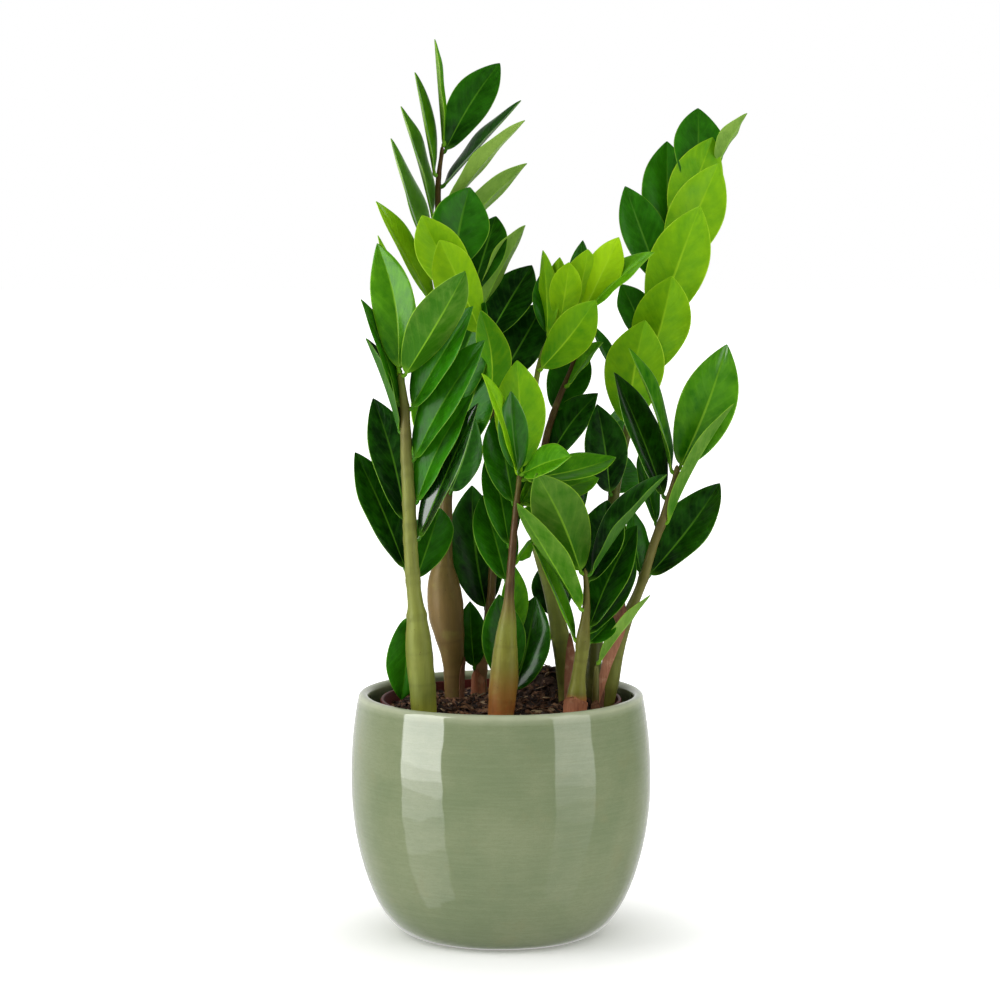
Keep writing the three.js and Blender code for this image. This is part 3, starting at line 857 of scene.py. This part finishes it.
HALF_STATIONS = np.array([0.03, 0.09, 0.18, 0.32, 0.48, 0.64, 0.79, 0.90, 0.97, 1.0])
ACROSS = np.concatenate([-HALF_STATIONS[::-1], [0.0], HALF_STATIONS])
UNDER_ACROSS = ACROSS[1:-1][::-1]
BLADE_RINGS = 32
STALK_RINGS = 6
STALK_RADIUS = 0.85
STALK_LENGTH = 2.16
BLADE_THICKNESS = 0.62
BLADE_END = 0.997          # where the last ring lies, as a share of the blade's length
FLAT_FROM = 0.10           # the share by which the round stalk has become a flat blade
STALK_FADE = 0.3           # the share by which the blade no longer has to cover the stalk
JOINT_SWELLING = 0.35      # how much thicker a stalk is at its stem's skin
JOINT_SPREAD = 1.4
STALK_DEPTH = 2.0          # how far in from a leaflet's foot its stalk starts
FOLD_ROUNDING = 0.1        # as a share of the half width
GROOVE = (0.22, 0.9)       # depth and half width of the groove above the midrib
RIB = (0.55, 1.1)          # the same of the midrib, below the blade


def leaf_axes(foot, tip, turn):
    """Along the blade, out of its upper face, and across it."""
    along = unit(tip - foot)
    facing = unit(FACING - along * (FACING @ along))
    sideways = np.cross(along, facing)
    angle = math.radians(turn)
    face = facing * math.cos(angle) + sideways * math.sin(angle)
    return along, face, np.cross(face, along)


def blade_breadth(share):
    """The half width along a ZZ leaflet, of its widest: round below, drawn out to a point."""
    share = np.clip(share, 1e-6, 1 - 1e-6)
    return np.sin(math.pi * share) ** (0.55 + 0.32 * share)


class Leaflet:
    """One leaflet: where it joins its stem, its tip, its frame and its own character."""

    def __init__(self, name, foot, inside, tip, axes, width, tone, shade):
        self.name, self.foot, self.inside, self.tip = name, foot, inside, tip
        self.along, self.face, self.side = axes
        self.tone, self.shade = tone, shade
        habit = HABITS.get(name, {})
        self.width = width * habit.get("broad", 1)
        draw = Random(name)
        self.fold = math.radians(habit.get("fold", draw.uniform(12, 18)))
        self.arch = habit.get("arch", draw.uniform(0.015, 0.04))
        self.twist = math.radians(draw.uniform(-9, 9))
        self.sickle = habit.get("bend", draw.uniform(-0.04, 0.04))
        self.shine = habit.get("shine", 0.06)
        self.curl = draw.uniform(0.0, 0.05)
        self.dome = draw.uniform(0.05, 0.10)
        self.wave = draw.uniform(0.01, 0.035)
        self.phase = [draw.uniform(0, 2 * math.pi) for _ in range(2)]
        self.beats = [draw.uniform(1.4, 2.6) for _ in range(2)]

    def neck(self):
        """Where the stalk ends and the blade begins."""
        out = unit(self.foot - self.inside)
        return self.foot + self.along * STALK_LENGTH + out * STALK_RADIUS * 0.5

    def spine(self, share):
        """A point of the blade's middle line, with its arch, sickle bend and tip curl."""
        start = self.neck()
        span = self.tip - start
        length = np.linalg.norm(span)
        rise = 4 * self.arch * length * share * (1 - share)
        rise += self.curl * length * (4 * max(0, share - 0.75) ** 2 - 0.25 * share)
        bend = self.sickle * length * math.sin(math.pi * share)
        return start + span * share + self.face * rise + self.side * bend

    def stalk(self, share):
        """A point of the short stalk, from inside the stem to the neck."""
        start, end = self.inside, self.neck()
        middle = self.foot + unit(self.foot - self.inside) * 1.2
        return start * (1 - share) ** 2 + middle * 2 * share * (1 - share) + end * share ** 2

    def section(self, share, half_width, flatness):
        """Offsets (across, up) of one ring: the top from edge to edge, then the underside."""
        def height(station, top):
            side = 0 if station < 0 else 1
            off = abs(station)
            valley = math.sqrt(off ** 2 + FOLD_ROUNDING ** 2) - FOLD_ROUNDING
            crown = self.dome * math.sin(math.pi * off) * off
            rise = half_width * (math.tan(self.fold) * valley + crown)
            swing = math.sin(2 * math.pi * self.beats[side] * share + self.phase[side])
            rise += half_width * self.wave * 2 * swing * off ** 3
            groove = -GROOVE[0] * math.exp(-((station * half_width / GROOVE[1]) ** 2))
            rib = -RIB[0] * math.exp(-((station * half_width / RIB[1]) ** 2)) * (1 - 0.8 * share)
            skin = BLADE_THICKNESS / 2 * math.sqrt(max(0, 1 - off ** 4))
            flat = rise + (skin + groove if top else -skin + rib)
            round_ = STALK_RADIUS * math.sqrt(max(0, 1 - off ** 2)) * (1 if top else -1)
            return flat * flatness + round_ * (1 - flatness)

        top = [(s * half_width, height(s, True)) for s in ACROSS]
        under = [(s * half_width, height(s, False)) for s in UNDER_ACROSS]
        return top + under

    def rings(self):
        """Every ring's points, with how far along and across the blade each lies."""
        points, along, across = [], [], []
        stations = [*ACROSS, *UNDER_ACROSS]
        for k in range(STALK_RINGS):
            share = k / STALK_RINGS
            centre = self.stalk(share)
            ahead = unit(self.stalk(share + 0.05) - self.stalk(share - 0.05))
            side = unit(self.side - ahead * (self.side @ ahead))
            face = np.cross(ahead, side)
            away = np.linalg.norm(centre - self.foot)
            swelling = 1 + JOINT_SWELLING * math.exp(-(away / JOINT_SPREAD) ** 2)
            for x, y in self.section(0, STALK_RADIUS * swelling, 0):
                points.append(centre + side * x + face * y * swelling)
            along += [0.0] * len(stations)
            across += [0.5] * len(stations)
        shares = 0.5 - 0.5 * np.cos(math.pi * np.arange(BLADE_RINGS) / (BLADE_RINGS - 1))
        for share in shares:
            share = float(share) * BLADE_END
            centre = self.spine(share)
            ahead = unit(self.spine(share + 0.02) - self.spine(max(0, share - 0.02)))
            twist = self.twist * (share - 0.3)
            side = self.side * math.cos(twist) + self.face * math.sin(twist)
            side = unit(side - ahead * (side @ ahead))
            face = np.cross(ahead, side)
            breadth = self.width / 2 * float(blade_breadth(share))
            flatness = min(1, share / FLAT_FROM) ** 0.6
            least = STALK_RADIUS * (1 - min(1, share / STALK_FADE))
            for x, y in self.section(share, max(breadth, least, 0.12), flatness):
                points.append(centre + side * x + face * y)
            along += [share] * len(stations)
            across += stations
        return points, along, across

    def build(self, materials, slot, nodes):
        """Makes the piece, with its upper skin on top and the lower one on the rest."""
        points, along, across = self.rings()
        around = len(ACROSS) + len(UNDER_ACROSS)
        rings = STALK_RINGS + BLADE_RINGS
        faces = loft_faces(rings, around)
        upper = len(ACROSS) - 1
        skins = [0 if k % around < upper else 1 for k in range((rings - 1) * around)] + [1, 1]
        count = len(points)
        values = {"shade": [self.shade] * count, "shine": [self.shine] * count}
        make_piece(
            f"blade_{self.name}", points, faces, materials[self.tone], slot, nodes, skins,
            {"along": along, "across": across, **values},
        )


def inside_of(stem, foot):
    """A point a little inside the stem, level with a leaflet's foot."""
    away = stem.centre(foot[2]) - foot
    return foot + away * min(1, STALK_DEPTH / max(np.linalg.norm(away), 0.01))


def farthest_pair(points):
    """The two points that lie farthest apart, and how far."""
    gaps = np.linalg.norm(points[:, None] - points[None], axis=2)
    first, second = np.unravel_index(gaps.argmax(), gaps.shape)
    return points[first], points[second], gaps[first, second]


CAD_FOLD = math.radians(14)
FOOT_REACH = 2.2           # a CAD leaflet's points this near its stem's end make its foot
TIP_REACH = 1.6            # and this near its other end its tip
WIDEST = 0.46              # where its width is read, as a share of its length
WIDEST_REACH = 0.17
CAD_BREADTH = 0.965        # how broad it is there, of its full width laid flat
EDGE_SHARE = 0.3           # its edges lie farther out than this, of that breadth


def cad_leaflet(name, stem, tone, shade):
    """The leaflet that a CAD solid stands for, read back from its mesh."""
    points = np.unique(np.round(cad_mesh(f"leaf_{name}")[0], 3), axis=0)
    ends = farthest_pair(points)[:2]
    inner, outer = sorted(ends, key=lambda end: np.linalg.norm(stem.centre(end[2]) - end))
    foot = points[np.linalg.norm(points - inner, axis=1) < FOOT_REACH].mean(0)
    tip = points[np.linalg.norm(points - outer, axis=1) < TIP_REACH].mean(0)
    along = unit(tip - foot)
    share = (points - foot) @ along / np.linalg.norm(tip - foot)
    middle = points[np.abs(share - WIDEST) < WIDEST_REACH]
    off = middle - foot - np.outer((middle - foot) @ along, along)
    left, right, breadth = farthest_pair(off)
    width = breadth / (CAD_BREADTH * math.cos(CAD_FOLD))
    spread = unit(left - right)
    edges = np.abs((off - off.mean(0)) @ spread) > EDGE_SHARE * breadth
    face = off[edges].mean(0) - off[~edges].mean(0)
    face = unit(face - along * (face @ along) - spread * (face @ spread))
    axes = (along, face, np.cross(face, along))
    return Leaflet(name, foot, inside_of(stem, foot), tip, axes, width, tone, shade)


# Leaflets that the imported model leaves out, by frond, as
# label, height of the foot in the picture, tip (across, up, away), width, turn, tone, shade.
# At turn 0 the upper face looks to the front, above 0 it turns to the right of a rising
# blade, and at 180 the underside looks to the front. The shade is how far the leaflet's
# green lies from the deep end of its tone to the bright end: partly its own green and partly
# painted light and shade, as the light fell on it; the deepest shades paint the shadow that
# leaflets far inside the plant stand in.
MORE_LEAFLETS = {
    "front_left": [
        ("left_1", 281, (-61.5, 351.5, -30), 17, 62, "pale", 0.5),
        ("left_2", 266, (-70, 319.5, -50), 18, 62, "dark", 0.6),
        ("left_2b", 252, (-67.5, 300, -38), 24, 82, "dark", 0.05),
        ("right_3b", 217, (-14, 272, -48), 20, -42, "dark", 0.8),
        ("right_5", 178, (-30.5, 215, 2), 24, -20, "dark", 0.6),
        ("right_3c", 232, (-23, 266.5, -20), 18, -40, "fresh", 0.5),
        ("low", 162, (-50, 119, -20), 20, 0, "dark", 0.65),
    ],
    "back_left": [
        ("left_4", 314, (-62.5, 368.5, 10), 21, 64, "pale", 0.9),
        ("left_5", 236, (-38, 288, 8), 22, 10, "pale", 0.0),
        ("right_3", 343, (13, 387.5, 26), 21, -122, "fresh", 0.5),
        ("right_5", 312, (12, 356.5, 20), 20, -120, "fresh", 0.5),
        ("right_6", 262, (-8, 318, 0), 27, -10, "dark", 0.55),
        ("right_7", 238, (-6, 292, 6), 26, -15, "fresh", 0.0),
        ("right_8", 222, (-13, 260, 4), 22, -28, "dark", 0.35),
    ],
    "centre_back": [
        ("left_1", 318, (-39.5, 361.5, -22), 24, 172, "pale", 0.5),
        ("low", 163, (-14.5, 226.5, 38), 30, 12, "dark", 0.2),
        ("foot", 134, (-15.5, 168.5, 20), 16, 0, "dark", 0.5),
    ],
    "centre_front": [
        ("gloss", 235, (5, 273.5, -62), 15, 4, "dark", 0.7),
        ("right_1", 232, (35, 241, -78), 18, -50, "fresh", 0.4),
        ("right_2b", 216, (49, 230, -20), 22, -50, "fresh", 0.5),
        ("right_3", 215, (17, 232, -38), 11, 40, "fresh", 0.5),
        ("right_4", 216, (27, 199, -40), 18, -30, "fresh", 0.5),
        ("right_5", 187, (16, 199.5, -36), 12, 55, "fresh", 0.5),
        ("left_1", 234, (-9.5, 282.5, -72), 14, 60, "pale", 0.5),
        ("left_1b", 216, (-3.5, 261.5, -36), 24, 20, "dark", 0.5),
    ],
    "young_centre": [
        ("top", 146, (6, 187, -8), 14, 8, "fresh", 0.5),
        ("right", 122, (17, 171, -8), 24, -12, "dark", 0.3),
        ("low", 124, (25.5, 153.5, 4), 14, -40, "dark", 0.5),
    ],
    "front_right": [
        ("right_1b", 176, (53, 219, -18), 24, -18, "dark", 0.1),
        ("right_2b", 150, (67, 190, -12), 20, -40, "dark", 0.3),
        ("right_3", 146, (56, 160.5, -24), 14, -30, "dark", 0.5),
        ("left_3", 147.5, (15.5, 197.5, -38), 15, 68, "fresh", 0.5),
    ],
    "right": [
        ("right_2", 208, (116.5, 267.5, -34), 20, -112, "fresh", 0.2),
        ("left_3", 205, (69.5, 244, -2), 15, 50, "dark", 0.5),
        ("left_4", 180, (66, 214, 4), 16, 40, "dark", 0.5),
    ],
    "back_right": [
        ("right_1", 350, (106, 400.5, 46), 27, 176, "pale", 0.2),
        ("right_2", 332, (109, 387.5, 28), 28, 176, "pale", 0.3),
        ("left_3", 326, (62, 376, 46), 24, 20, "dark", 0.65),
        ("left_4", 296, (60, 327, 42), 20, 30, "dark", 0.5),
        ("left_5", 262, (43.5, 309, 32), 16, 66, "dark", 0.5),
    ],
    "centre_right": [
        ("left_1", 300, (21, 344, 0), 14, 136, "pale", 0.3),
        ("left_3", 300, (20.5, 333, 14), 14, 10, "dark", 0.5),
        ("mid_1", 303, (29.5, 340.5, -2), 14, 150, "pale", 0.4),
        ("mid_2", 305, (34, 338, -14), 16, 178, "pale", 0.5),
        ("mid_3", 309, (43.5, 344.5, -6), 18, 176, "pale", 0.5),
        ("mid_4", 309, (41, 349, 14), 13, 24, "dark", 0.5),
        ("end", 313, (76.5, 343, -12), 18, -58, "fresh", 0.75),
    ],
    "far_centre": [
        ("right_1", 276, (51, 298, 20), 16, -66, "fresh", 0.5),
        ("right_2", 262, (39.5, 297.5, 40), 22, -10, "dark", 0.5),
        ("top", 296, (40, 318, 28), 14, 10, "fresh", 0.5),
        ("right_3", 237, (48.5, 272.5, 24), 22, -38, "dark", 0.15),
        ("low", 196, (44, 232, 10), 22, -20, "dark", 0.1),
        ("foot", 158, (25, 190, 34), 22, -12, "dark", 0.05),
    ],
    "far_right": [
        ("back_1", 254, (63, 261, 78), 17, 20, "dark", 0.5),
        ("back_2", 238, (50, 256, 77), 18, -16, "dark", 0.5),
        ("back_3", 222, (64, 240, 78), 19, 14, "dark", 0.5),
        ("low", 184, (53.5, 217, 30), 24, 0, "dark", 0.1),
    ],
}

# The shades of the others, by frond, partly their own green and partly painted light and
# shade; those that aren't here take a middle value
SHADES = {
    "front_left": {
        "top": 0.4, "top_right": 0.05, "right_2": 0.65, "right_3": 0.6, "right_4": 0.05,
        "left_3": 0.05, "left_4": 0.15,
    },
    "back_left": {
        "left_2": 0.7, "left_3": 1.0, "right_1": 0.3, "right_2": 0.9, "top_right": 0.45,
    },
    "centre_back": {
        "top": 0.6, "left_2": 0.5, "left_3": 0.0, "right_1": 0.25, "right_2": 0.1,
        "right_3": 0.1,
    },
    "centre_front": {"top": 0.2, "left_2": 0.5, "left_3": 0.55, "right_2": 0.3},
    "young_centre": {"left": 0.4},
    "young_right": {"leaf": 0.45},
    "front_right": {"top": 0.15, "left_2": 0.15, "right_1": 0.15, "right_2": 0.25},
    "right": {"top_right": 0.35, "top_left": 0.2, "left_2": 0.1, "right_3": 0.2},
    "back_right": {
        "left_1": 0.7, "left_2": 0.75, "tip": 0.6, "right_3": 0.3, "right_4": 0.3,
        "right_5": 0.25, "left_low": 0.15,
    },
    "centre_right": {"left_2": 0.2, "tip": 0.85},
}
MIDDLE_SHADE = 0.5

# Leaflets that differ from the usual habit: how broad against their width, the fold of each
# half in degrees, the arch and the sideways bend as shares of the length, the shine, and the
# stem of one that stands among another frond's leaflets
HABITS = {
    "front_left_top": {"bend": -0.07, "shine": 0.2},
    "front_left_left_2": {"shine": 0.4},
    "front_left_left_2b": {"fold": 26},
    "front_left_right_4": {"shine": 1.0},
    "back_left_tip": {"broad": 0.9, "arch": 0.0, "bend": 0.0},
    "back_left_left_1": {"arch": 0.01, "shine": 0.5},
    "back_left_left_2": {"arch": 0.01, "shine": 0.5},
    "back_left_left_3": {"arch": 0.0, "broad": 1.3, "shine": 0.6},
    "back_left_left_4": {"shine": 0.6},
    "back_left_right_1": {"arch": 0.0, "shine": 0.5},
    "back_left_right_2": {"broad": 0.82, "shine": 0.4},
    "back_left_right_5": {"stem": "centre_back"},
    "centre_back_left_3": {"broad": 0.8},
    "centre_front_gloss": {"shine": 1.0},
    "centre_front_right_2": {"bend": -0.09},
    "young_centre_left": {"broad": 0.85},
    "young_centre_right": {"shine": 0.25},
    "front_right_right_1": {"fold": 28, "broad": 1.1},
    "right_top_right": {"shine": 0.7},
    "right_left_2": {"shine": 0.9},
    "right_right_2": {"broad": 0.85, "fold": 20},
    "right_right_3": {"fold": 20, "shine": 0.8},
    "back_right_tip": {"broad": 1.05},
}


def node_slots():
    """Each CAD node's material slot, from the record."""
    return {part["node"]: part["material_slot"] for part in frame["record"]["subparts"]}


def stem_for(name, stems):
    """The stem whose name a leaflet's name starts with."""
    owners = [stem for stem in stems if name.startswith(stem + "_")]
    return stems[max(owners, key=len)]


def build_leaflets(stems, materials, slots):
    """Reads or places every leaflet, then builds them all."""
    leaflets = []
    for node in frame["nodes"]:
        if not node.startswith("leaf_"):
            continue
        name = node[len("leaf_"):]
        stem = stem_for(name, stems)
        shade = SHADES[stem.name].get(name[len(stem.name) + 1:], MIDDLE_SHADE)
        tone = slots[node][len("leaf_"):]
        leaflets.append((cad_leaflet(name, stem, tone, shade), stem, [node]))
    for frond, rows in MORE_LEAFLETS.items():
        for label, up, tip, width, turn, tone, shade in rows:
            name = f"{frond}_{label}"
            stem = stems[HABITS.get(name, {}).get("stem", frond)]
            level = stem.level_at(up)
            tip = seen(*tip)
            foot = stem.socket(level, tip - stem.centre(level))
            axes = leaf_axes(foot, tip, turn)
            leaf = Leaflet(name, foot, inside_of(stem, foot), tip, axes, width, tone, shade)
            leaflets.append((leaf, stem, []))
    for leaf, stem, nodes in leaflets:
        stem.feet.append(leaf.foot[2])
        leaf.build(materials, f"leaf_{leaf.tone}", nodes)


# ---- bracts and sheaths ----

SHEET_RINGS = 30
SHEET_ACROSS = 13
BRACT_END = 3              # a CAD bract's points this near its ends make its foot and tip
BRACT_LAYERS = (0.28, -0.28)
SLEEVE_LAYERS = (0.55, 0.15)

# Half widths up a sheet, as shares of the widest
BRACT_OUTLINE = [(0, 0.85), (0.2, 1.0), (0.45, 0.92), (0.75, 0.6), (0.92, 0.28), (1, 0.04)]
SLENDER_OUTLINE = [(0, 0.3), (0.4, 0.5), (0.7, 1.0), (0.85, 0.85), (1, 0.04)]
SLEEVE_OUTLINE = [(0, 1.0), (0.6, 1.0), (0.8, 0.8), (0.93, 0.45), (1, 0.08)]
# Screen colours up a sheet
BRACT_TINTS = [
    (0, (176, 116, 84)), (0.35, (158, 106, 78)), (0.8, (140, 92, 66)), (1, (112, 64, 46)),
]
PINK_TINTS = [(0, (196, 128, 96)), (0.5, (184, 116, 82)), (1, (150, 96, 62))]
BROWN_TINTS = [(0, (138, 96, 72)), (0.6, (128, 88, 62)), (1, (104, 70, 46))]
# CAD bract: how far it bends round its length, in radians, and its outline
BRACTS = {"bract_centre": (0.6, BRACT_OUTLINE), "bract_right": (0.8, SLENDER_OUTLINE)}
# Stem: the lowest and highest level of its sleeve, the way it faces, its reach and tints
SLEEVES = {
    "front_right": ((111, 125), (-0.25, -1, 0), 2.1, PINK_TINTS),
    "back_left": ((113, 137), (0.95, -0.3, 0), 0.7, BROWN_TINTS),
    "centre_back": ((113, 129), (-0.5, -1, 0), 1.3, PINK_TINTS),
    "young_right": ((112, 121), (0.2, -1, 0), 1.6, BROWN_TINTS),
    "right": ((112, 130), (-1, -0.4, 0), 0.9, BROWN_TINTS),
}


def make_sheet(name, place_at, layers, tints, material, nodes=()):
    """A thin sheet between two layers of place_at(share, station, layer), outer one first."""
    stations = np.linspace(-1, 1, SHEET_ACROSS)
    points, colours = [], []
    for share in np.arange(SHEET_RINGS) / (SHEET_RINGS - 1):
        for layer, row in zip(layers, (stations, stations[::-1])):
            points += [place_at(share, station, layer) for station in row]
        colours += [tint_at(tints, share)] * (2 * SHEET_ACROSS)
    make_piece(
        name, points, loft_faces(SHEET_RINGS, 2 * SHEET_ACROSS), [material], "bract", nodes,
        values={"tint": colours},
    )


def build_bract(node, material):
    """A dry bract: a sheet bent round its own length, ruffled towards its top."""
    wrap, outline = BRACTS[node]
    solid, _ = cad_mesh(node)
    level = solid[:, 2]
    low, high = level.min(), level.max()
    foot = solid[level < low + BRACT_END].mean(0)
    tip = solid[level > high - BRACT_END].mean(0)
    tall = np.abs(level - (low + high) / 2) < (high - low) * 0.25
    half_width = np.ptp(solid[tall][:, 0]) / 2
    along = unit(tip - foot)
    face = unit(FACING - along * (FACING @ along))
    side = np.cross(face, along)
    length = np.linalg.norm(tip - foot)
    name = f"{node}_sheet"
    phase = Random(name).uniform(0, 6)

    def place_at(share, station, layer):
        breadth = np.interp(share, *zip(*outline))
        centre = foot + (tip - foot) * share
        centre = centre + face * length * 0.03 * math.sin(math.pi * share)
        bend = wrap * (1 - 0.4 * share)
        radius = half_width / bend
        angle = station * bend * breadth
        ruffle = 0.35 * math.sin(9 * share + phase + 3 * station) * abs(station) * share
        out = radius * math.cos(angle) - radius + layer + ruffle
        return centre + side * radius * math.sin(angle) + face * out

    make_sheet(name, place_at, BRACT_LAYERS, BRACT_TINTS, material, [node])


def build_sleeve(stem, material):
    """A dry sheath that hugs a stem's foot, open behind, ragged and a little loose above."""
    (low, high), facing, reach, tints = SLEEVES[stem.name]
    front = unit(np.array(facing, float))
    side = np.cross((0, 0, 1), front)
    name = f"{stem.name}_sleeve"
    phase = Random(name).uniform(0, 6)

    def place_at(share, station, layer):
        level = low + (high - low) * share
        angle = station * reach * np.interp(share, *zip(*SLEEVE_OUTLINE))
        ragged = 0.9 * math.sin(6 * station + phase) * share
        loose = 0.35 * share ** 3 + 0.12 * math.sin(11 * station + phase + 5 * share)
        out = front * math.cos(angle) + side * math.sin(angle)
        return stem.centre(level + ragged) + out * (stem.radius(level) + layer + loose)

    make_sheet(name, place_at, SLEEVE_LAYERS, tints, material)


# ---- studio ----

def build_camera():
    """The photograph's camera, looking slightly down at the plant."""
    camera = bpy.data.cameras.new("photo_camera")
    camera.lens = LENS
    camera.sensor_width = SENSOR
    camera.clip_end = 50
    seat = bpy.data.objects.new("photo_camera", camera)
    shift = Vector((VIEW_SHIFT, 0, 0)) * MM
    seat.location = Vector(EYE) * MM + shift
    look = Vector(AIM - EYE)
    seat.rotation_euler = look.to_track_quat("-Z", "Y").to_euler()
    bpy.context.collection.objects.link(seat)
    bpy.context.scene.camera = seat


# The lamps that light and don't show as glints: name, place, target, size and power
LAMPS = [
    ("left_light", (-0.93, -0.41, 0.62), (0, 0, 0.30), (0.76, 1.2), 6.9),
    ("right_light", (0.86, -0.52, 0.62), (0, 0, 0.30), (0.66, 1.2), 3.4),
    ("front_light", (0.0, -1.2, 1.5), (0, 0, 0.25), (1.4, 1.0), 5.8),
]
# Two tall lamps that show only as glints: side, place, width and radiance. Each is a stack of
# (bottom, share) that fades downwards. Each lamp of a stack stands a little further out than
# the one before, because lamps at one distance hide each other.
GLINTS = [("left", -0.54, -0.30, 0.40, 8.4), ("right", 0.51, -0.35, 0.36, 2.9)]
GLINT_TOP = 0.80
GLINT_STEPS = [
    (0.06, 0.20), (0.02, 0.26), (-0.02, 0.20), (-0.10, 0.14), (-0.25, 0.10), (-0.60, 0.10),
]
GLINT_STEP_OUT = 0.01
GLINT_AIM = (0.04, -0.06)  # they face a place this far to their own side and to the front
# How bright the world is by how far a direction leans one way: the way, then the lean and the
# brightness at the dim and at the bright end. Matt skins see a studio that is brightest above
# and behind. Reflections show a dim room with the white sweep behind and below.
STUDIO = ((0.0, 0.5, 0.85), (-0.5, 0.85, 0.14, 0.62))
SWEEP_BEHIND = ((-0.2, 0.98, 0.0), (0.35, 0.90, 0.03, 0.90))
SWEEP_BELOW = ((0, 0, -1), (0.10, 0.60, 0.03, 0.30))
FLOOR_SIZE = 12
FLOOR_LEVEL = -0.0002      # just clear of the pot's foot


def softbox(name, place, target, size, power, lights=True):
    """An area lamp the camera doesn't see: it either lights or shows only as a glint."""
    light = bpy.data.lights.new(name, "AREA")
    light.shape = "RECTANGLE"
    light.size, light.size_y = size
    light.energy = power
    lamp = bpy.data.objects.new(name, light)
    lamp.location = place
    lamp.rotation_euler = (Vector(target) - Vector(place)).to_track_quat("-Z", "Y").to_euler()
    lamp.visible_camera = False
    lamp.visible_diffuse = lights
    lamp.visible_glossy = not lights
    bpy.context.collection.objects.link(lamp)


def studio_world():
    """White to the camera, a soft studio to matt skins and a dim room to reflections."""
    world = bpy.data.worlds.new("studio")
    world.use_nodes = True
    tree = world.node_tree
    tree.nodes.clear()

    def add(kind, inputs=(), **settings):
        return add_node(tree, kind, inputs, **settings)

    direction = add("TexCoord").outputs["Generated"]
    path = add("LightPath")

    def facing(way, ramp):
        lean = add("VectorMath", (direction, way), operation="DOT_PRODUCT")
        return add("MapRange", (lean.outputs["Value"], *ramp)).outputs["Result"]

    sweep = add("Math", (facing(*SWEEP_BEHIND), facing(*SWEEP_BELOW)), operation="MAXIMUM")
    seen_by = {0: path.outputs["Is Glossy Ray"], 2: facing(*STUDIO), 3: sweep.outputs[0]}
    strength = add("Mix", seen_by, data_type="FLOAT")
    around = add("Background", ((1, 1, 1, 1), strength.outputs[0]))
    shown = add("Background", ((1, 1, 1, 1), 1.0))
    sides = (path.outputs["Is Camera Ray"], around.outputs[0], shown.outputs[0])
    add("OutputWorld", (add("MixShader", sides).outputs[0],))
    return world


def build_studio():
    """A white sweep, bright behind, with soft light from three sides and two tall glints."""
    scene = bpy.context.scene
    scene.view_settings.view_transform = "Standard"
    scene.world = studio_world()
    for lamp in LAMPS:
        softbox(*lamp)
    for layer, (bottom, share) in enumerate(GLINT_STEPS):
        height = GLINT_TOP - bottom
        middle = (GLINT_TOP + bottom) / 2
        apart = 1 + GLINT_STEP_OUT * layer
        for side, x, y, width, radiance in GLINTS:
            softbox(
                f"{side}_glint_{layer + 1}", (x * apart, y * apart, middle),
                (math.copysign(GLINT_AIM[0], x), GLINT_AIM[1], middle), (width, height),
                radiance * share * math.pi * width * height, lights=False,
            )

    bpy.ops.mesh.primitive_plane_add(size=FLOOR_SIZE, location=(0, 0, FLOOR_LEVEL))
    floor = bpy.context.object
    floor.name = "studio_floor"
    floor.visible_glossy = False
    floor.data.materials.append(floor_material())


def main():
    build_camera()
    build_studio()
    slots = node_slots()
    leaf_looks = {tone: leaf_pair(tone) for tone in LEAF_TONES}
    stem_look = stem_material()
    build_pot(glaze_material())
    build_grow_pot(plastic_material())
    build_soil(soil_material("potting_mix"), soil_material("bark_chips"))
    names = [node[len("stem_"):] for node in frame["nodes"] if node.startswith("stem_")]
    stems = {name: Stem(name) for name in names}
    build_leaflets(stems, leaf_looks, slots)
    for name, stem in stems.items():
        build_stem(stem, stem_look, slots[f"stem_{name}"])
    paper = sheath_material()
    for node in BRACTS:
        build_bract(node, paper)
    for name in SLEEVES:
        build_sleeve(stems[name], paper)


main()
